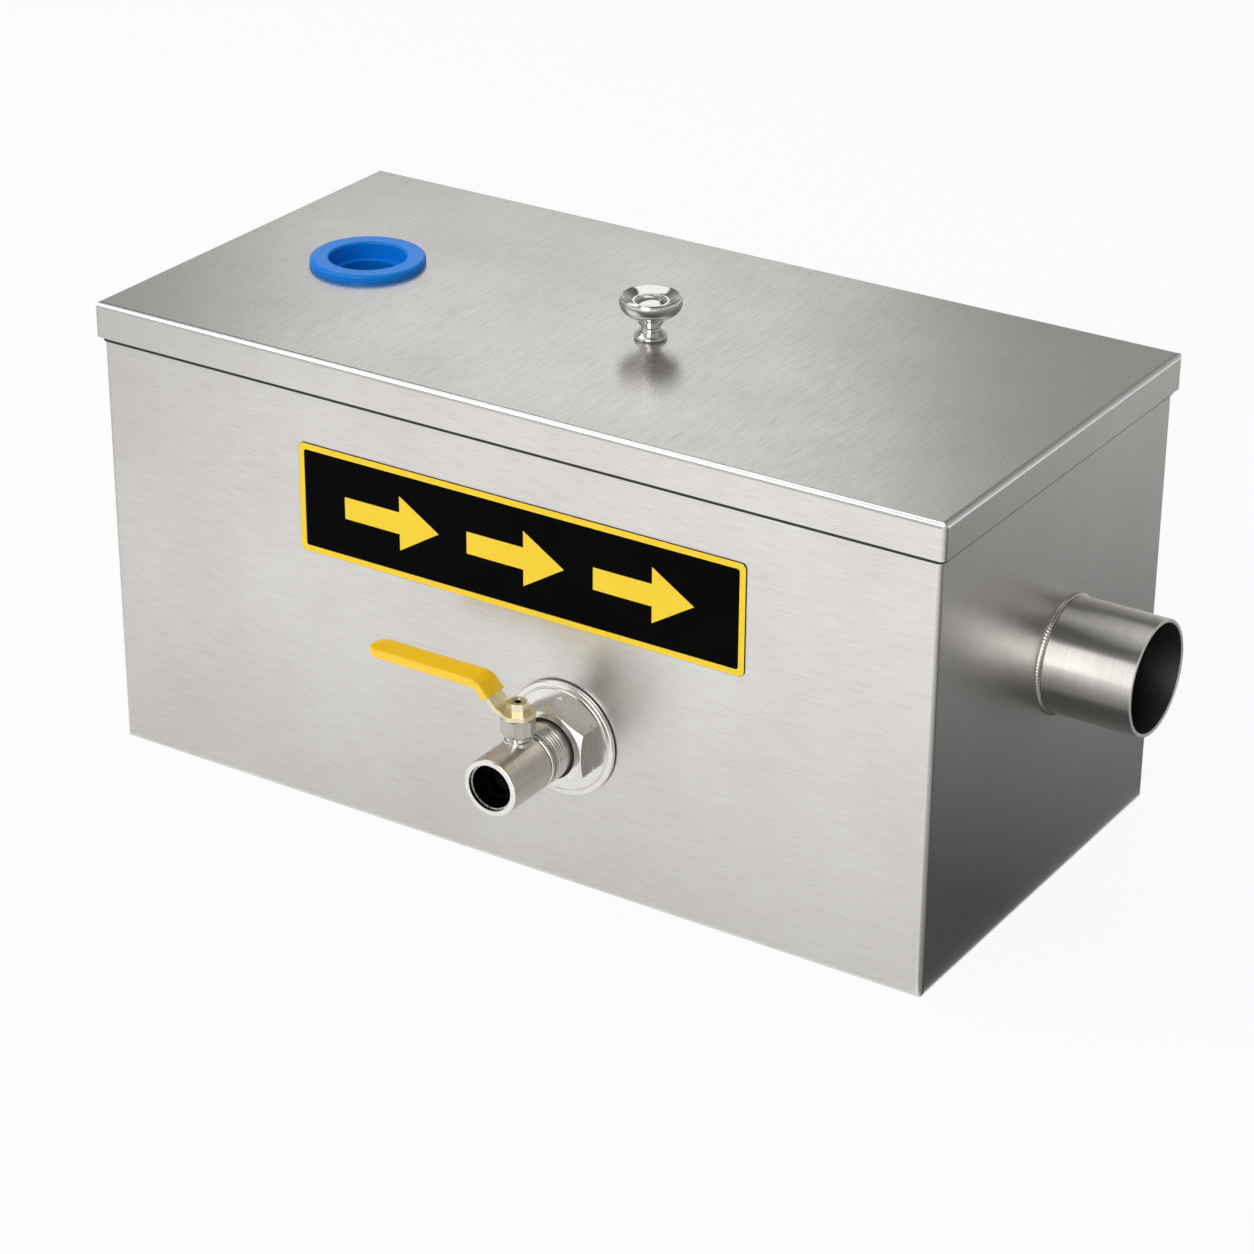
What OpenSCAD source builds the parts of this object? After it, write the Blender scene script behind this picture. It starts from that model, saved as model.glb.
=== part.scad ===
// Grease trap: stainless tank with lift-off lid, inlet grommet, outlet pipe and drain valve.
// Millimetres, +Z up, floor of the tank at z = 0, outlet towards +X, drain valve towards -Y.

/* [Tank] */
// Length of the tank outside
tank_l = 494; // [440:1:560]
// Width of the tank outside
tank_w = 244; // [230:1:280]
// Height of the rim
tank_h = 250; // [240:1:290]
// Steel sheet of tank, lid and plates inside
sheet = 1.2; // [1:0.1:1.4]
// Outside radius of the folds
fold_r = 3; // [2.8:0.1:3.6]

/* [Rim seal] */
// Rubber on each side of the rim
seal_wall = 1.2; // [1:0.1:1.4]
// How far the seal reaches down the wall
seal_leg = 8; // [6:0.5:11]
// Rubber over the edge of the rim
seal_cap = 1; // [0.8:0.1:1.5]
// Height of the lip that the lid sits on
seal_lip = 2; // [1.5:0.1:3]
// Thickness of that lip
seal_lip_t = 1.6; // [1.4:0.1:2]

/* [Lid] */
// Gap between the tank wall and the skirt of the lid
lid_gap = 1.8; // [1.8:0.1:2.4]
// Depth of the skirt
lid_skirt = 19; // [17:0.5:26]

/* [Inlet grommet] */
// Distance of the inlet from the left wall
inlet_in = 81; // [76:1:88]
// Inlet from the middle of the lid
inlet_y = 0; // [-10:1:10]
// Radius of the hole in the lid
inlet_hole_r = 24; // [23.5:0.1:25]
// Radius of the flange
inlet_flange_r = 31; // [29:0.5:34]
// Height of the flange
inlet_flange_h = 4; // [3.5:0.5:6]
// Radius of the mouth that takes the waste pipe
inlet_mouth_r = 20.75; // [20:0.05:21.5]
// Depth of the mouth
inlet_mouth_d = 9; // [8.5:0.5:11]
// Radius under the ledge
inlet_throat_r = 16.5; // [15:0.5:17.5]
// Radius of the lip under the lid
inlet_lip_r = 27; // [26.5:0.5:29]
// Reach of the grommet below the top of the lid
inlet_reach = 15; // [13:0.5:18]
// Height of the lip under the lid
inlet_lip_h = 3.4; // [3:0.1:4]
// Rubber round the throat at the lower end
inlet_tail = 3.3; // [2.5:0.1:4]
// Rounding of the flange's outer edge
inlet_edge_r = 1.8; // [1.2:0.1:2]
// Rounding of the mouth's edge
inlet_mouth_edge_r = 1.3; // [0.8:0.1:1.5]

/* [Knob] */
// Knob along the lid
knob_x = 16.5; // [-10:0.5:30]
// Knob across the lid
knob_y = -7; // [-12:0.5:12]
// Height of the knob
knob_h = 23; // [20:0.5:30]
// Largest radius of the knob
knob_r = 16.1; // [15:0.1:20]
// Radius of the screw
knob_screw_r = 2.5; // [2:0.5:3]
// Radius of the domed head
knob_head_r = 8.6; // [7.5:0.1:8.6]
// Height of the domed head
knob_head_h = 2.4; // [2:0.1:3]
// Width of the slot in the domed head
knob_slot_w = 1.4; // [1:0.1:1.8]
// Depth of that slot
knob_slot_d = 1.2; // [0.8:0.1:1.5]
// Length of the screw under the lid
knob_tail = 8; // [6:0.5:10]
// Radius of the washer under the lid
knob_washer_r = 6; // [5.5:0.5:8]
// Thickness of that washer
knob_washer_t = 1; // [0.8:0.1:1.5]
// Width across flats of the nut under the lid
knob_nut_af = 9; // [8:0.5:10]
// Height of that nut
knob_nut_h = 4; // [3:0.5:5]

/* [Outlet] */
// Outlet across the right wall
outlet_y = 15.5; // [0:0.5:20]
// Height of the outlet
outlet_z = 130; // [125:1:150]
// Radius of the pipe
pipe_r = 30.15; // [29:0.05:31]
// Wall of the pipe
pipe_wall = 2; // [1.5:0.1:2.5]
// Rounding of the pipe's outer end
pipe_edge = 0.7; // [0.3:0.1:0.7]
// Reach of the pipe outside
pipe_out = 50; // [40:1:70]
// Reach of the pipe from the outside of the wall inwards
pipe_in = 26; // [24:1:30]
// Depth by which the pipe is turned down where it goes through the wall
pipe_step = 0.5; // [0.4:0.1:0.8]
// Leg of the weld bead
weld_r = 2.3; // [1.5:0.1:3]
// Bend radius of the dip elbow
elbow_bend_r = 42; // [40:1:44]
// Wall of the dip elbow
elbow_wall = 2.5; // [2:0.1:3]
// Overlap of the elbow on the pipe
elbow_socket = 16; // [12:1:18]
// Height of the elbow's mouth over the floor
dip_z = 42; // [35:1:55]

/* [Baffles] */
// Left wall to the first baffle
inlet_bay = 167; // [162:1:172]
// Right wall to the second baffle
outlet_bay = 127; // [124:1:132]
// Gap under the baffles
baffle_gap = 45; // [35:1:55]
// Top of the baffles below the rim
baffle_drop = 35; // [30:1:45]
// Fold at the top of a baffle
baffle_fold = 10; // [6:1:14]
// Length of the finger slot
finger_l = 60; // [50:1:80]
// Width of the finger slot
finger_w = 16; // [12:1:20]
// Depth of a guide channel
guide_d = 8; // [6:0.5:10]
// Top of the guides below the top of the baffles
guide_drop = 8; // [6:1:12]
// Finger slot below the top of the baffle
finger_drop = 12; // [10:1:15]
// Clearance of a baffle in its guide
slide_gap = 0.4; // [0.3:0.05:0.6]

/* [Basket] */
// Rim of the basket below the rim of the tank
basket_drop = 44; // [42:1:50]
// Left wall to the basket
basket_left = 10.8; // [10:0.2:14]
// Basket to the first baffle
basket_right = 15.2; // [14:0.2:20]
// Depth of the basket
basket_h = 92; // [80:1:100]
// Sheet of the basket
basket_t = 1; // [0.8:0.1:1.2]
// Width of the basket's folded rim along the tank
basket_rim = 8; // [6:0.5:8.5]
// Width of the ledge that carries the screen
basket_ledge = 8; // [6:0.5:10]
// Width of the rails
rail_w = 14; // [12:0.5:16]
// Depth of the rails
rail_leg = 15; // [10:1:20]
// How much a rail is shorter than the inlet bay
rail_short = 30; // [28:1:40]
// Gap between a rail and the basket's wall
rail_gap = 1.5; // [1:0.1:2]
// Gap between the basket's rim and the front wall
rim_gap = 2; // [1.5:0.1:3]
// Width of the slots in the walls
slot_w = 5; // [4:0.5:7]
// Height of the slots
slot_h = 50; // [40:1:54]
// Distance of the slots
slot_pitch = 20; // [18:1:22]
// Plain wall between a corner and the slots
slot_edge = 15; // [12:1:18]
// Height of the slots over the floor of the basket
slot_low = 16; // [14:1:20]
// Radius of the holes in the screen
screen_hole_r = 3.5; // [2.5:0.5:4.5]
// Distance of the holes in the screen
screen_pitch = 15; // [12:1:18]
// Plain border of the screen
screen_edge = 5; // [4:0.5:8]
// Radius of the handle wire
wire_r = 2.5; // [2:0.25:3]
// Width of a handle
handle_w = 70; // [60:1:80]
// Height of a handle over the basket's rim
handle_h = 16; // [12:1:18]
// Length of a handle's legs on the basket's wall
handle_leg = 30; // [25:1:40]
// Bend radius of a handle
handle_bend = 10; // [8:1:12]

/* [Label] */
// Length of the label
label_l = 265; // [240:1:280]
// Height of the label
label_h = 60; // [50:1:62]
// Label along the front wall
label_x = 11.7; // [-10:0.1:20]
// Middle of the label below the rim
label_drop = 74; // [70:1:78]
// Thickness of the label
label_t = 0.6; // [0.4:0.1:1]
// Corner radius of the label
label_r = 3; // [2:0.5:5]

/* [Drain valve] */
// Valve from the middle between the baffles
valve_off = 20; // [0:1:24]
// Height of the valve
valve_z = 83.7; // [80:0.1:90]
// Radius of the threaded shank
shank_r = 14.9; // [14.7:0.1:15.2]
// Reach of the shank inside the wall
shank_in = 14; // [13:0.5:16]
// Radius of the shank's bore
shank_bore_r = 8; // [7:0.5:8.5]
// Chamfer at the shank's inner end
shank_edge = 0.8; // [0.5:0.1:1]
// Thickness of the rubber gaskets
gasket_t = 1; // [0.8:0.1:1.6]
// Radius of the flange washer
flange_r = 31.2; // [29:0.1:33]
// Thickness of the flange washer
flange_t = 2.8; // [2.4:0.1:3.5]
// Width of the low rim round the flange washer
flange_rim = 3.2; // [2.5:0.1:4]
// Step down to that rim
flange_step = 0.7; // [0.4:0.1:0.9]
// Depth of the groove at that step
flange_groove = 0.5; // [0.3:0.1:0.7]
// How far the gasket stays inside the flange
gasket_in = 3.2; // [1:0.1:4]
// How far the inner gasket reaches past the nut's flats
gasket_past = 2; // [1:0.5:3]
// Width across flats of the nuts on the shank
nut_af = 40.5; // [40:0.5:44]
// Thickness of the outer nut
nut_t = 11.5; // [10:0.5:12]
// Bevel of that nut's corners towards the wall
nut_foot = 1.2; // [0.8:0.1:1.6]
// Thickness of the nut inside the tank
lock_nut_t = 8; // [7:0.5:9]
// Wire radius of the o-ring in the nut's face
ring_r = 0.8; // [0.7:0.05:0.9]
// Start of the valve body out from the wall
body_from = 33; // [32:0.5:34]
// End of the valve body out from the wall
body_to = 65; // [63:0.5:72]
// Radius of the valve body
body_r = 15.2; // [14.6:0.1:15.6]
// Rounding of the body's outer end
body_edge = 0.9; // [0.5:0.1:1.2]
// Broken edge where the body starts
body_break = 0.4; // [0.2:0.1:0.6]
// Width of the bead between the thread and the body
bead_w = 2; // [1.6:0.1:2.2]
// Width of the groove on each side of the bead
relief_w = 1.2; // [0.8:0.1:1.4]
// Depth of those grooves below the thread
relief_d = 1.1; // [0.9:0.1:1.3]
// Radius of the drilled dimple near the outlet
dimple_r = 0.9; // [0.7:0.1:1.2]
// Depth of the dimple
dimple_d = 1.2; // [0.8:0.1:1.5]
// Dimple back from the end of the body
dimple_back = 8; // [6:0.5:8.5]
// Turn of the dimple from the top, seen from the outlet
dimple_turn = 25; // [20:1:40]
// Radius of the bore round the ball and its seats
cavity_r = 11; // [10.8:0.1:11.2]
// Radius of the bore in the outlet
outlet_bore_r = 11.4; // [11.3:0.1:12]
// Step of the wider mouth at the outlet
mouth_step = 0.9; // [0.6:0.1:1.2]
// Depth of that mouth
mouth_d = 2; // [1.5:0.1:3]
// Half the length of the ball's chamber
chamber_half = 11; // [10.8:0.1:11.2]
// Stem out from the wall
stem_out = 40; // [39.5:0.5:41]
// Radius of the ball
ball_r = 9.6; // [9.5:0.05:9.7]
// Radius of the ball's bore
ball_bore_r = 5.5; // [4.5:0.1:5.7]
// Depth of the flat on top of the ball
ball_flat_d = 1.8; // [1.7:0.1:2]
// Depth of the slot in that flat for the stem
tang_d = 1.2; // [1:0.1:1.4]
// Length of the seats at their outside
seat_t = 4.6; // [4.2:0.1:4.8]
// Length of the ring that holds the seats
retainer_t = 5; // [4:0.5:5]
// Width of the slots in that ring
retainer_slot_w = 3; // [2:0.5:4]
// Depth of those slots
retainer_slot_d = 2; // [1:0.5:3]
// Running clearance of turning parts
run_gap = 0.05; // [0.03:0.01:0.08]

/* [Lever] */
// Radius of the stem
stem_r = 4; // [3.6:0.1:4.2]
// Radius of the stem's threaded end
stem_end_r = 3; // [2.5:0.1:3.2]
// Reach and thickness of the stem's shoulder under the neck
stem_flange = 1.4; // [1:0.1:1.6]
// Threaded end that shows over the strap
stem_show = 5; // [3.5:0.1:5]
// Radius of the centre hole in the stem's end
stem_mark_r = 1.7; // [1.2:0.1:1.9]
// Depth of that hole
stem_mark_d = 2.4; // [1.5:0.1:3]
// Height of the gland nut's underside over the valve's axis
gland_z = 19; // [18.5:0.5:20]
// Height of the gland nut
gland_h = 10; // [9:0.5:11]
// Width across flats of the gland nut
gland_af = 15.5; // [15:0.5:17]
// Thickness of the gland nut's top
gland_top_t = 4; // [3.5:0.5:4.5]
// Taper of the gland nut's foot
gland_foot = 2; // [1.5:0.1:2.4]
// Turn of the gland nut when it is tight
gland_turn = 18; // [0:1:59]
// Radius of the neck
neck_r = 6.2; // [6:0.1:6.8]
// Step down from the neck to the spigot inside the gland nut
spigot_step = 1; // [0.8:0.1:1.1]
// Collar at the foot of the neck, over the neck's radius
collar = 0.8; // [0.6:0.1:1.2]
// Height of that collar over the valve's axis
collar_z = 16.6; // [16:0.1:17.2]
// Thickness of the stem packing
packing_t = 1.5; // [1:0.1:2]
// Thickness of the lever's strap
strap_t = 2.5; // [2:0.1:3]
// Width of the strap
strap_w = 11.5; // [10:0.5:12]
// Width across flats of the lever's eye plate
eye_af = 16.6; // [16:0.2:18]
// Rise of the grip over the eye
lever_rise = 12.7; // [10:0.1:16]
// Slope of the strap
lever_slope = 48; // [40:1:55]
// Bend radius of the strap
lever_bend_r = 8; // [6:0.5:9]
// Length of the lever from the stem to its tip
lever_l = 87.5; // [80:0.5:110]
// Width of the sleeve
sleeve_w = 16; // [15:0.5:18]
// Thickness of the sleeve
sleeve_t = 4.8; // [4.6:0.1:6]
// Solid end of the sleeve past the strap
sleeve_tip = 3.5; // [2:0.5:5]
// Width across flats of the stem nut
stem_nut_af = 9.5; // [9:0.5:12]
// Height of the stem nut
stem_nut_h = 5.5; // [5:0.5:6.5]

/* [Hidden] */
$fn = 96;
eps = 0.5;
fit = 0.05;
part_gap = 0.1;
turn_gap = 0.3;
chamfer_slope = 0.6;
nut_face = 0.98;
seal_corner = 0.6;
eye_corner = 0.54;

wall_y = tank_w / 2 - sheet;
lid_l = tank_l + 2 * lid_gap + 2 * sheet;
lid_w = tank_w + 2 * lid_gap + 2 * sheet;
lid_under = tank_h + seal_cap + seal_lip;
lid_top = lid_under + sheet;
lip_in = fold_r - sheet - lid_gap + 0.2;
inlet_x = inlet_in - tank_l / 2;
knob_seat = 0.885;

pipe_root_r = pipe_r - pipe_step;
elbow_r = pipe_r - pipe_wall + elbow_wall;
socket_r = pipe_root_r + part_gap + elbow_wall;
elbow_back = 4;

inlet_baffle_x = inlet_bay - tank_l / 2;
outlet_baffle_x = tank_l / 2 - outlet_bay;
baffle_top = tank_h - baffle_drop;
slot_t = sheet + 2 * slide_gap;
guide_w = slot_t + 2 * sheet;
guide_top = baffle_top - guide_drop;
baffle_half = wall_y - sheet - slide_gap;

basket_z = tank_h - basket_drop;
basket_l = inlet_bay - sheet - basket_left - basket_right;
basket_x = sheet + basket_left + basket_l / 2 - tank_l / 2;
basket_half_w = wall_y - rail_w - rail_gap;
basket_rim_half = wall_y - rim_gap;
rail_l = inlet_bay - rail_short;

label_z = tank_h - label_drop;

valve_x = (inlet_baffle_x + outlet_baffle_x) / 2 + valve_off;
nut_from = gasket_t + flange_t;
gland_roof = gland_z + gland_h - gland_top_t;
stack_r = shank_r + 2 * part_gap;
cavity_from = stem_out - chamber_half;
seat_to = stem_out + chamber_half;
retainer_to = seat_to + retainer_t;
eye_z = gland_z + gland_h + turn_gap;
neck_top = gland_roof - packing_t;
spigot_r = neck_r - spigot_step;
collar_foot = cavity_r - 1;
ball_flat = ball_r - ball_flat_d;
tang_z = ball_flat - tang_d;
stem_top = eye_z + strap_t + stem_show;
flat_half = stem_r * 0.75;
tang_half = stem_r / 2;
strap_mid = eye_z + strap_t / 2;
nut_z = eye_z + strap_t;

base_run = eye_af / 3;
arc_n = 8;
slope_l = (lever_rise - 2 * lever_bend_r * (1 - cos(lever_slope))) / sin(lever_slope);
bend_x = base_run + lever_bend_r * sin(lever_slope);
bend_z = strap_mid + lever_bend_r * (1 - cos(lever_slope));
slope_x = bend_x + slope_l * cos(lever_slope);
slope_z = bend_z + slope_l * sin(lever_slope);
grip_z = strap_mid + lever_rise;
sleeve_from = 0.45;

// Points of an arc round c, from angle a to angle b
function arc(c, r, a, b, n = 8) =
    [for (i = [0 : n]) c + r * [cos(a + (b - a) * i / n), sin(a + (b - a) * i / n)]];

// Point between p1 and p2 on a smooth curve that also heeds p0 and p3
function curve_point(p0, p1, p2, p3, t) =
    0.5 * (2 * p1 + (p2 - p0) * t + (2 * p0 - 5 * p1 + 4 * p2 - p3) * t * t
    + (3 * p1 - p0 - 3 * p2 + p3) * t * t * t);

// Smooth curve through the inner points of a list
function smooth(p, n = 4) =
    [for (i = [1 : len(p) - 3], j = [0 : n - 1])
        curve_point(p[i - 1], p[i], p[i + 1], p[i + 2], j / n)];

// Corner radius of a hexagon from its width across flats
function hex_r(af) = af / sqrt(3);

// Lower bend of the lever: position along the lever, height, slope
function lower_bend() = [for (i = [0 : arc_n])
    let (a = lever_slope * i / arc_n)
    [-base_run - lever_bend_r * sin(a), strap_mid + lever_bend_r * (1 - cos(a)), a]];

// Upper bend of the lever
function upper_bend() = [for (i = [0 : arc_n])
    let (a = lever_slope * (1 - i / arc_n))
    [-slope_x - lever_bend_r * (sin(lever_slope) - sin(a)),
        slope_z + lever_bend_r * (cos(a) - cos(lever_slope)), a]];

// Middle line of the strap, up to a given reach
function strap_line(reach) =
    concat([[0, strap_mid, 0]], lower_bend(), upper_bend(), [[-reach, grip_z, 0]]);

// Outline of a strip of thickness t along a middle line
function strip(line, t) = concat(
    [for (p = line) [p[0] + sin(p[2]) * t / 2, p[1] + cos(p[2]) * t / 2]],
    [for (i = [len(line) - 1 : -1 : 0])
        let (p = line[i]) [p[0] - sin(p[2]) * t / 2, p[1] - cos(p[2]) * t / 2]]);

// Middle line of the sleeve with its half width and half thickness
function sleeve_line() = let (hw = sleeve_w / 2, ht = sleeve_t / 2, n = 10) concat(
    [[-bend_x - (slope_x - bend_x) * sleeve_from, bend_z + (slope_z - bend_z) * sleeve_from,
        lever_slope, hw - 0.5, ht - 0.4],
    [-bend_x - (slope_x - bend_x) * (sleeve_from + 0.05),
        bend_z + (slope_z - bend_z) * (sleeve_from + 0.05), lever_slope, hw, ht]],
    [for (p = upper_bend()) [p[0], p[1], p[2], hw, ht]],
    [for (i = [0 : n - 1]) let (a = 90 * i / n)
        [hw * (1 - sin(a)) - lever_l, grip_z, 0, hw * cos(a),
            ht * (0.72 + 0.28 * pow(cos(a), 0.6))]]);

// Rounded rectangle of half sizes w and h as a list of points
function pad(w, h) = let (r = min(w, h) * 0.8) concat(
    arc([w - r, h - r], r, 0, 90, 5), arc([r - w, h - r], r, 90, 180, 5),
    arc([r - w, r - h], r, 180, 270, 5), arc([w - r, r - h], r, 270, 360, 5));

module round_rect(l, w, r) {
    square([l - 2 * r, w], center = true);
    square([l, w - 2 * r], center = true);
    for (x = [-1, 1], y = [-1, 1])
        translate([x * (l / 2 - r), y * (w / 2 - r)])
            circle(r);
}

// Upright section of a pan with rounded lower edges
module pan_section(b, h, r) {
    translate([r - b / 2, 0])
        square([b - 2 * r, h]);
    translate([-b / 2, r])
        square([b, h - r]);
    for (x = [-1, 1])
        translate([x * (b / 2 - r), r])
            circle(r);
}

// Block with rounded upright and lower edges
module pan_block(l, w, h, r) {
    intersection() {
        linear_extrude(h)
            round_rect(l, w, r);
        rotate([90, 0, 0])
            linear_extrude(w + 2 * eps, center = true)
                pan_section(l, h, r);
        rotate([90, 0, 90])
            linear_extrude(l + 2 * eps, center = true)
                pan_section(w, h, r);
    }
}

// Folded sheet, open at the top
module pan(l, w, h) {
    difference() {
        pan_block(l, w, h, fold_r);
        translate([0, 0, sheet])
            pan_block(l - 2 * sheet, w - 2 * sheet, h, fold_r - sheet);
    }
}

// Places a child on the front wall: its z axis points out of the tank
module on_front(d = 0) {
    translate([valve_x, -tank_w / 2, valve_z])
        rotate([90, 0, 0])
            translate([0, 0, d])
                children();
}

// Places a child on the right wall: its z axis points out of the tank, its x axis down
module on_right(d = 0) {
    translate([tank_l / 2, outlet_y, outlet_z])
        rotate([0, 90, 0])
            translate([0, 0, d])
                children();
}

// Places a child on the valve's stem, with z = 0 on the valve's axis
module on_stem() {
    translate([valve_x, -tank_w / 2 - stem_out, valve_z])
        children();
}

// Places a child on the lid's top face
module on_lid(x, y) {
    translate([x, y, lid_top])
        children();
}

module tube(r_out, r_in, h) {
    difference() {
        cylinder(r = r_out, h = h);
        translate([0, 0, -eps])
            cylinder(r = r_in, h = h + 2 * eps);
    }
}

// Hexagon nut with chamfered corners on its upper face, and a tapered foot where foot is above zero
module hex_nut(af, h, hole_r, foot = -1) {
    rc = hex_r(af);
    rim = nut_face * af / 2;
    difference() {
        intersection() {
            rotate([0, 0, 30])
                cylinder(r = rc, h = h, $fn = 6);
            rotate_extrude()
                polygon([[0, -eps], [rc - foot - eps, -eps], [rc + eps, foot + eps],
                    [rc + eps, h - chamfer_slope * (rc + eps - rim)],
                    [rim - eps, h + chamfer_slope * eps], [0, h + chamfer_slope * eps]]);
        }
        translate([0, 0, -eps])
            cylinder(r = hole_r, h = h + 2 * eps);
    }
}

module tank() {
    color("silver")
        difference() {
            pan(tank_l, tank_w, tank_h);
            on_right(-sheet - eps)
                cylinder(r = pipe_root_r + part_gap, h = sheet + 2 * eps);
            on_front(-sheet - eps)
                cylinder(r = stack_r, h = sheet + 2 * eps);
        }
}

module rim_seal() {
    in_l = tank_l - 2 * sheet - 2 * fit;
    in_w = tank_w - 2 * sheet - 2 * fit;
    in_r = fold_r - sheet;
    color("dimgray")
        difference() {
            union() {
                translate([0, 0, tank_h - seal_leg])
                    linear_extrude(seal_leg + seal_cap)
                        difference() {
                            round_rect(tank_l + 2 * seal_wall, tank_w + 2 * seal_wall, fold_r + seal_wall);
                            round_rect(in_l - 2 * seal_wall, in_w - 2 * seal_wall, seal_corner);
                        }
                translate([0, 0, tank_h + seal_cap / 2])
                    linear_extrude(seal_cap / 2 + seal_lip)
                        difference() {
                            round_rect(tank_l - 2 * lip_in, tank_w - 2 * lip_in, fold_r);
                            round_rect(tank_l - 2 * lip_in - 2 * seal_lip_t,
                                tank_w - 2 * lip_in - 2 * seal_lip_t, in_r);
                        }
            }
            translate([0, 0, tank_h - seal_leg - eps])
                linear_extrude(seal_leg + eps)
                    difference() {
                        round_rect(tank_l + 2 * fit, tank_w + 2 * fit, fold_r + fit);
                        round_rect(in_l, in_w, in_r - fit);
                    }
        }
}

module outlet_pipe() {
    bore = pipe_r - pipe_wall;
    shoulder = weld_r + part_gap;
    end = pipe_out - pipe_edge;
    color("silver")
        on_right()
            rotate_extrude()
                polygon(concat(
                    [[bore, -pipe_in], [pipe_root_r, -pipe_in], [pipe_root_r, shoulder],
                        [pipe_r, shoulder]],
                    arc([pipe_r - pipe_edge, end], pipe_edge, 0, 90),
                    arc([bore + pipe_edge, end], pipe_edge, 90, 180)));
}

module outlet_weld() {
    color("gainsboro")
        on_right()
            rotate_extrude()
                translate([pipe_root_r + fit, 0])
                    intersection() {
                        circle(weld_r);
                        square(weld_r);
                    }
}

// Elbow of one radius: straight part, bend downwards, leg down to the mouth
module elbow_way(r, lead, over) {
    leg = outlet_z - elbow_bend_r - dip_z + over;
    translate([0, 0, -elbow_back])
        cylinder(r = r, h = lead);
    translate([elbow_bend_r, 0, -elbow_back])
        rotate([90, 0, 0])
            rotate([0, 0, 180])
                rotate_extrude(angle = 90)
                    translate([elbow_bend_r, 0])
                        circle(r);
    translate([elbow_bend_r, 0, -elbow_back - elbow_bend_r])
        rotate([0, 90, 0])
            cylinder(r = r, h = leg);
}

module dip_elbow() {
    color("silver")
        on_right(-pipe_in)
            difference() {
                union() {
                    elbow_way(elbow_r, elbow_back, 0);
                    translate([0, 0, -elbow_back])
                        cylinder(r = socket_r, h = elbow_back + elbow_socket);
                }
                elbow_way(pipe_r - pipe_wall, elbow_back + eps, eps);
                cylinder(r = pipe_root_r + part_gap, h = elbow_socket + eps);
            }
}

// Channel on the front wall with a closed foot
module baffle_guide(x) {
    translate([x - guide_w / 2, -wall_y, baffle_gap - sheet])
        difference() {
            cube([guide_w, guide_d, guide_top - baffle_gap + sheet]);
            translate([sheet, sheet, sheet])
                cube([slot_t, guide_d, guide_top]);
        }
}

module guide_front_inlet() {
    color("silver")
        baffle_guide(inlet_baffle_x);
}

module guide_rear_inlet() {
    color("silver")
        mirror([0, 1, 0])
            baffle_guide(inlet_baffle_x);
}

module guide_front_outlet() {
    color("silver")
        baffle_guide(outlet_baffle_x);
}

module guide_rear_outlet() {
    color("silver")
        mirror([0, 1, 0])
            baffle_guide(outlet_baffle_x);
}

// Plate with a fold and a finger slot at its top
module baffle(x) {
    difference() {
        translate([x - sheet / 2, -baffle_half, baffle_gap])
            cube([sheet, 2 * baffle_half, baffle_top - baffle_gap]);
        translate([x, 0, baffle_top - finger_drop - finger_w / 2])
            rotate([90, 0, 90])
                linear_extrude(sheet + 2 * eps, center = true) {
                    square([finger_l - finger_w, finger_w], center = true);
                    for (y = [-1, 1])
                        translate([y * (finger_l - finger_w) / 2, 0])
                            circle(finger_w / 2);
                }
    }
    translate([x - sheet / 2, -baffle_half, baffle_top - sheet])
        cube([baffle_fold, 2 * baffle_half, sheet]);
}

module inlet_baffle() {
    color("lightgray")
        baffle(inlet_baffle_x);
}

module outlet_baffle() {
    color("lightgray")
        baffle(outlet_baffle_x);
}

// Angle on the front wall under the basket's rim
module basket_rail() {
    translate([basket_x - rail_l / 2, -wall_y, basket_z - basket_t])
        rotate([90, 0, 90])
            linear_extrude(rail_l)
                polygon([[0, 0], [rail_w, 0], [rail_w, -sheet],
                    [sheet, -sheet], [sheet, -rail_leg], [0, -rail_leg]]);
}

module rail_front() {
    color("silver")
        basket_rail();
}

module rail_rear() {
    color("silver")
        mirror([0, 1, 0])
            basket_rail();
}

module basket_frame() {
    half_l = basket_l / 2;
    floor_z = basket_z - basket_h;
    n_long = floor((basket_l / 2 - slot_edge) / slot_pitch);
    n_wide = floor((basket_half_w - slot_edge) / slot_pitch);
    color("lightgray")
        translate([basket_x, 0, 0])
            difference() {
                union() {
                    translate([-half_l, -basket_half_w, floor_z])
                        cube([basket_l, 2 * basket_half_w, basket_h]);
                    translate([-half_l - basket_rim, -basket_rim_half, basket_z - basket_t])
                        cube([basket_l + 2 * basket_rim, 2 * basket_rim_half, basket_t]);
                }
                translate([basket_t - half_l, basket_t - basket_half_w, floor_z + basket_t])
                    cube([basket_l - 2 * basket_t, 2 * basket_half_w - 2 * basket_t, basket_h]);
                translate([basket_ledge - half_l, basket_ledge - basket_half_w, floor_z - eps])
                    cube([basket_l - 2 * basket_ledge, 2 * basket_half_w - 2 * basket_ledge, basket_h]);
                for (i = [-n_long : n_long])
                    translate([i * slot_pitch - slot_w / 2, -tank_w, floor_z + slot_low])
                        cube([slot_w, 2 * tank_w, slot_h]);
                for (i = [-n_wide : n_wide])
                    translate([-tank_l / 2, i * slot_pitch - slot_w / 2, floor_z + slot_low])
                        cube([tank_l, slot_w, slot_h]);
            }
}

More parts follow.
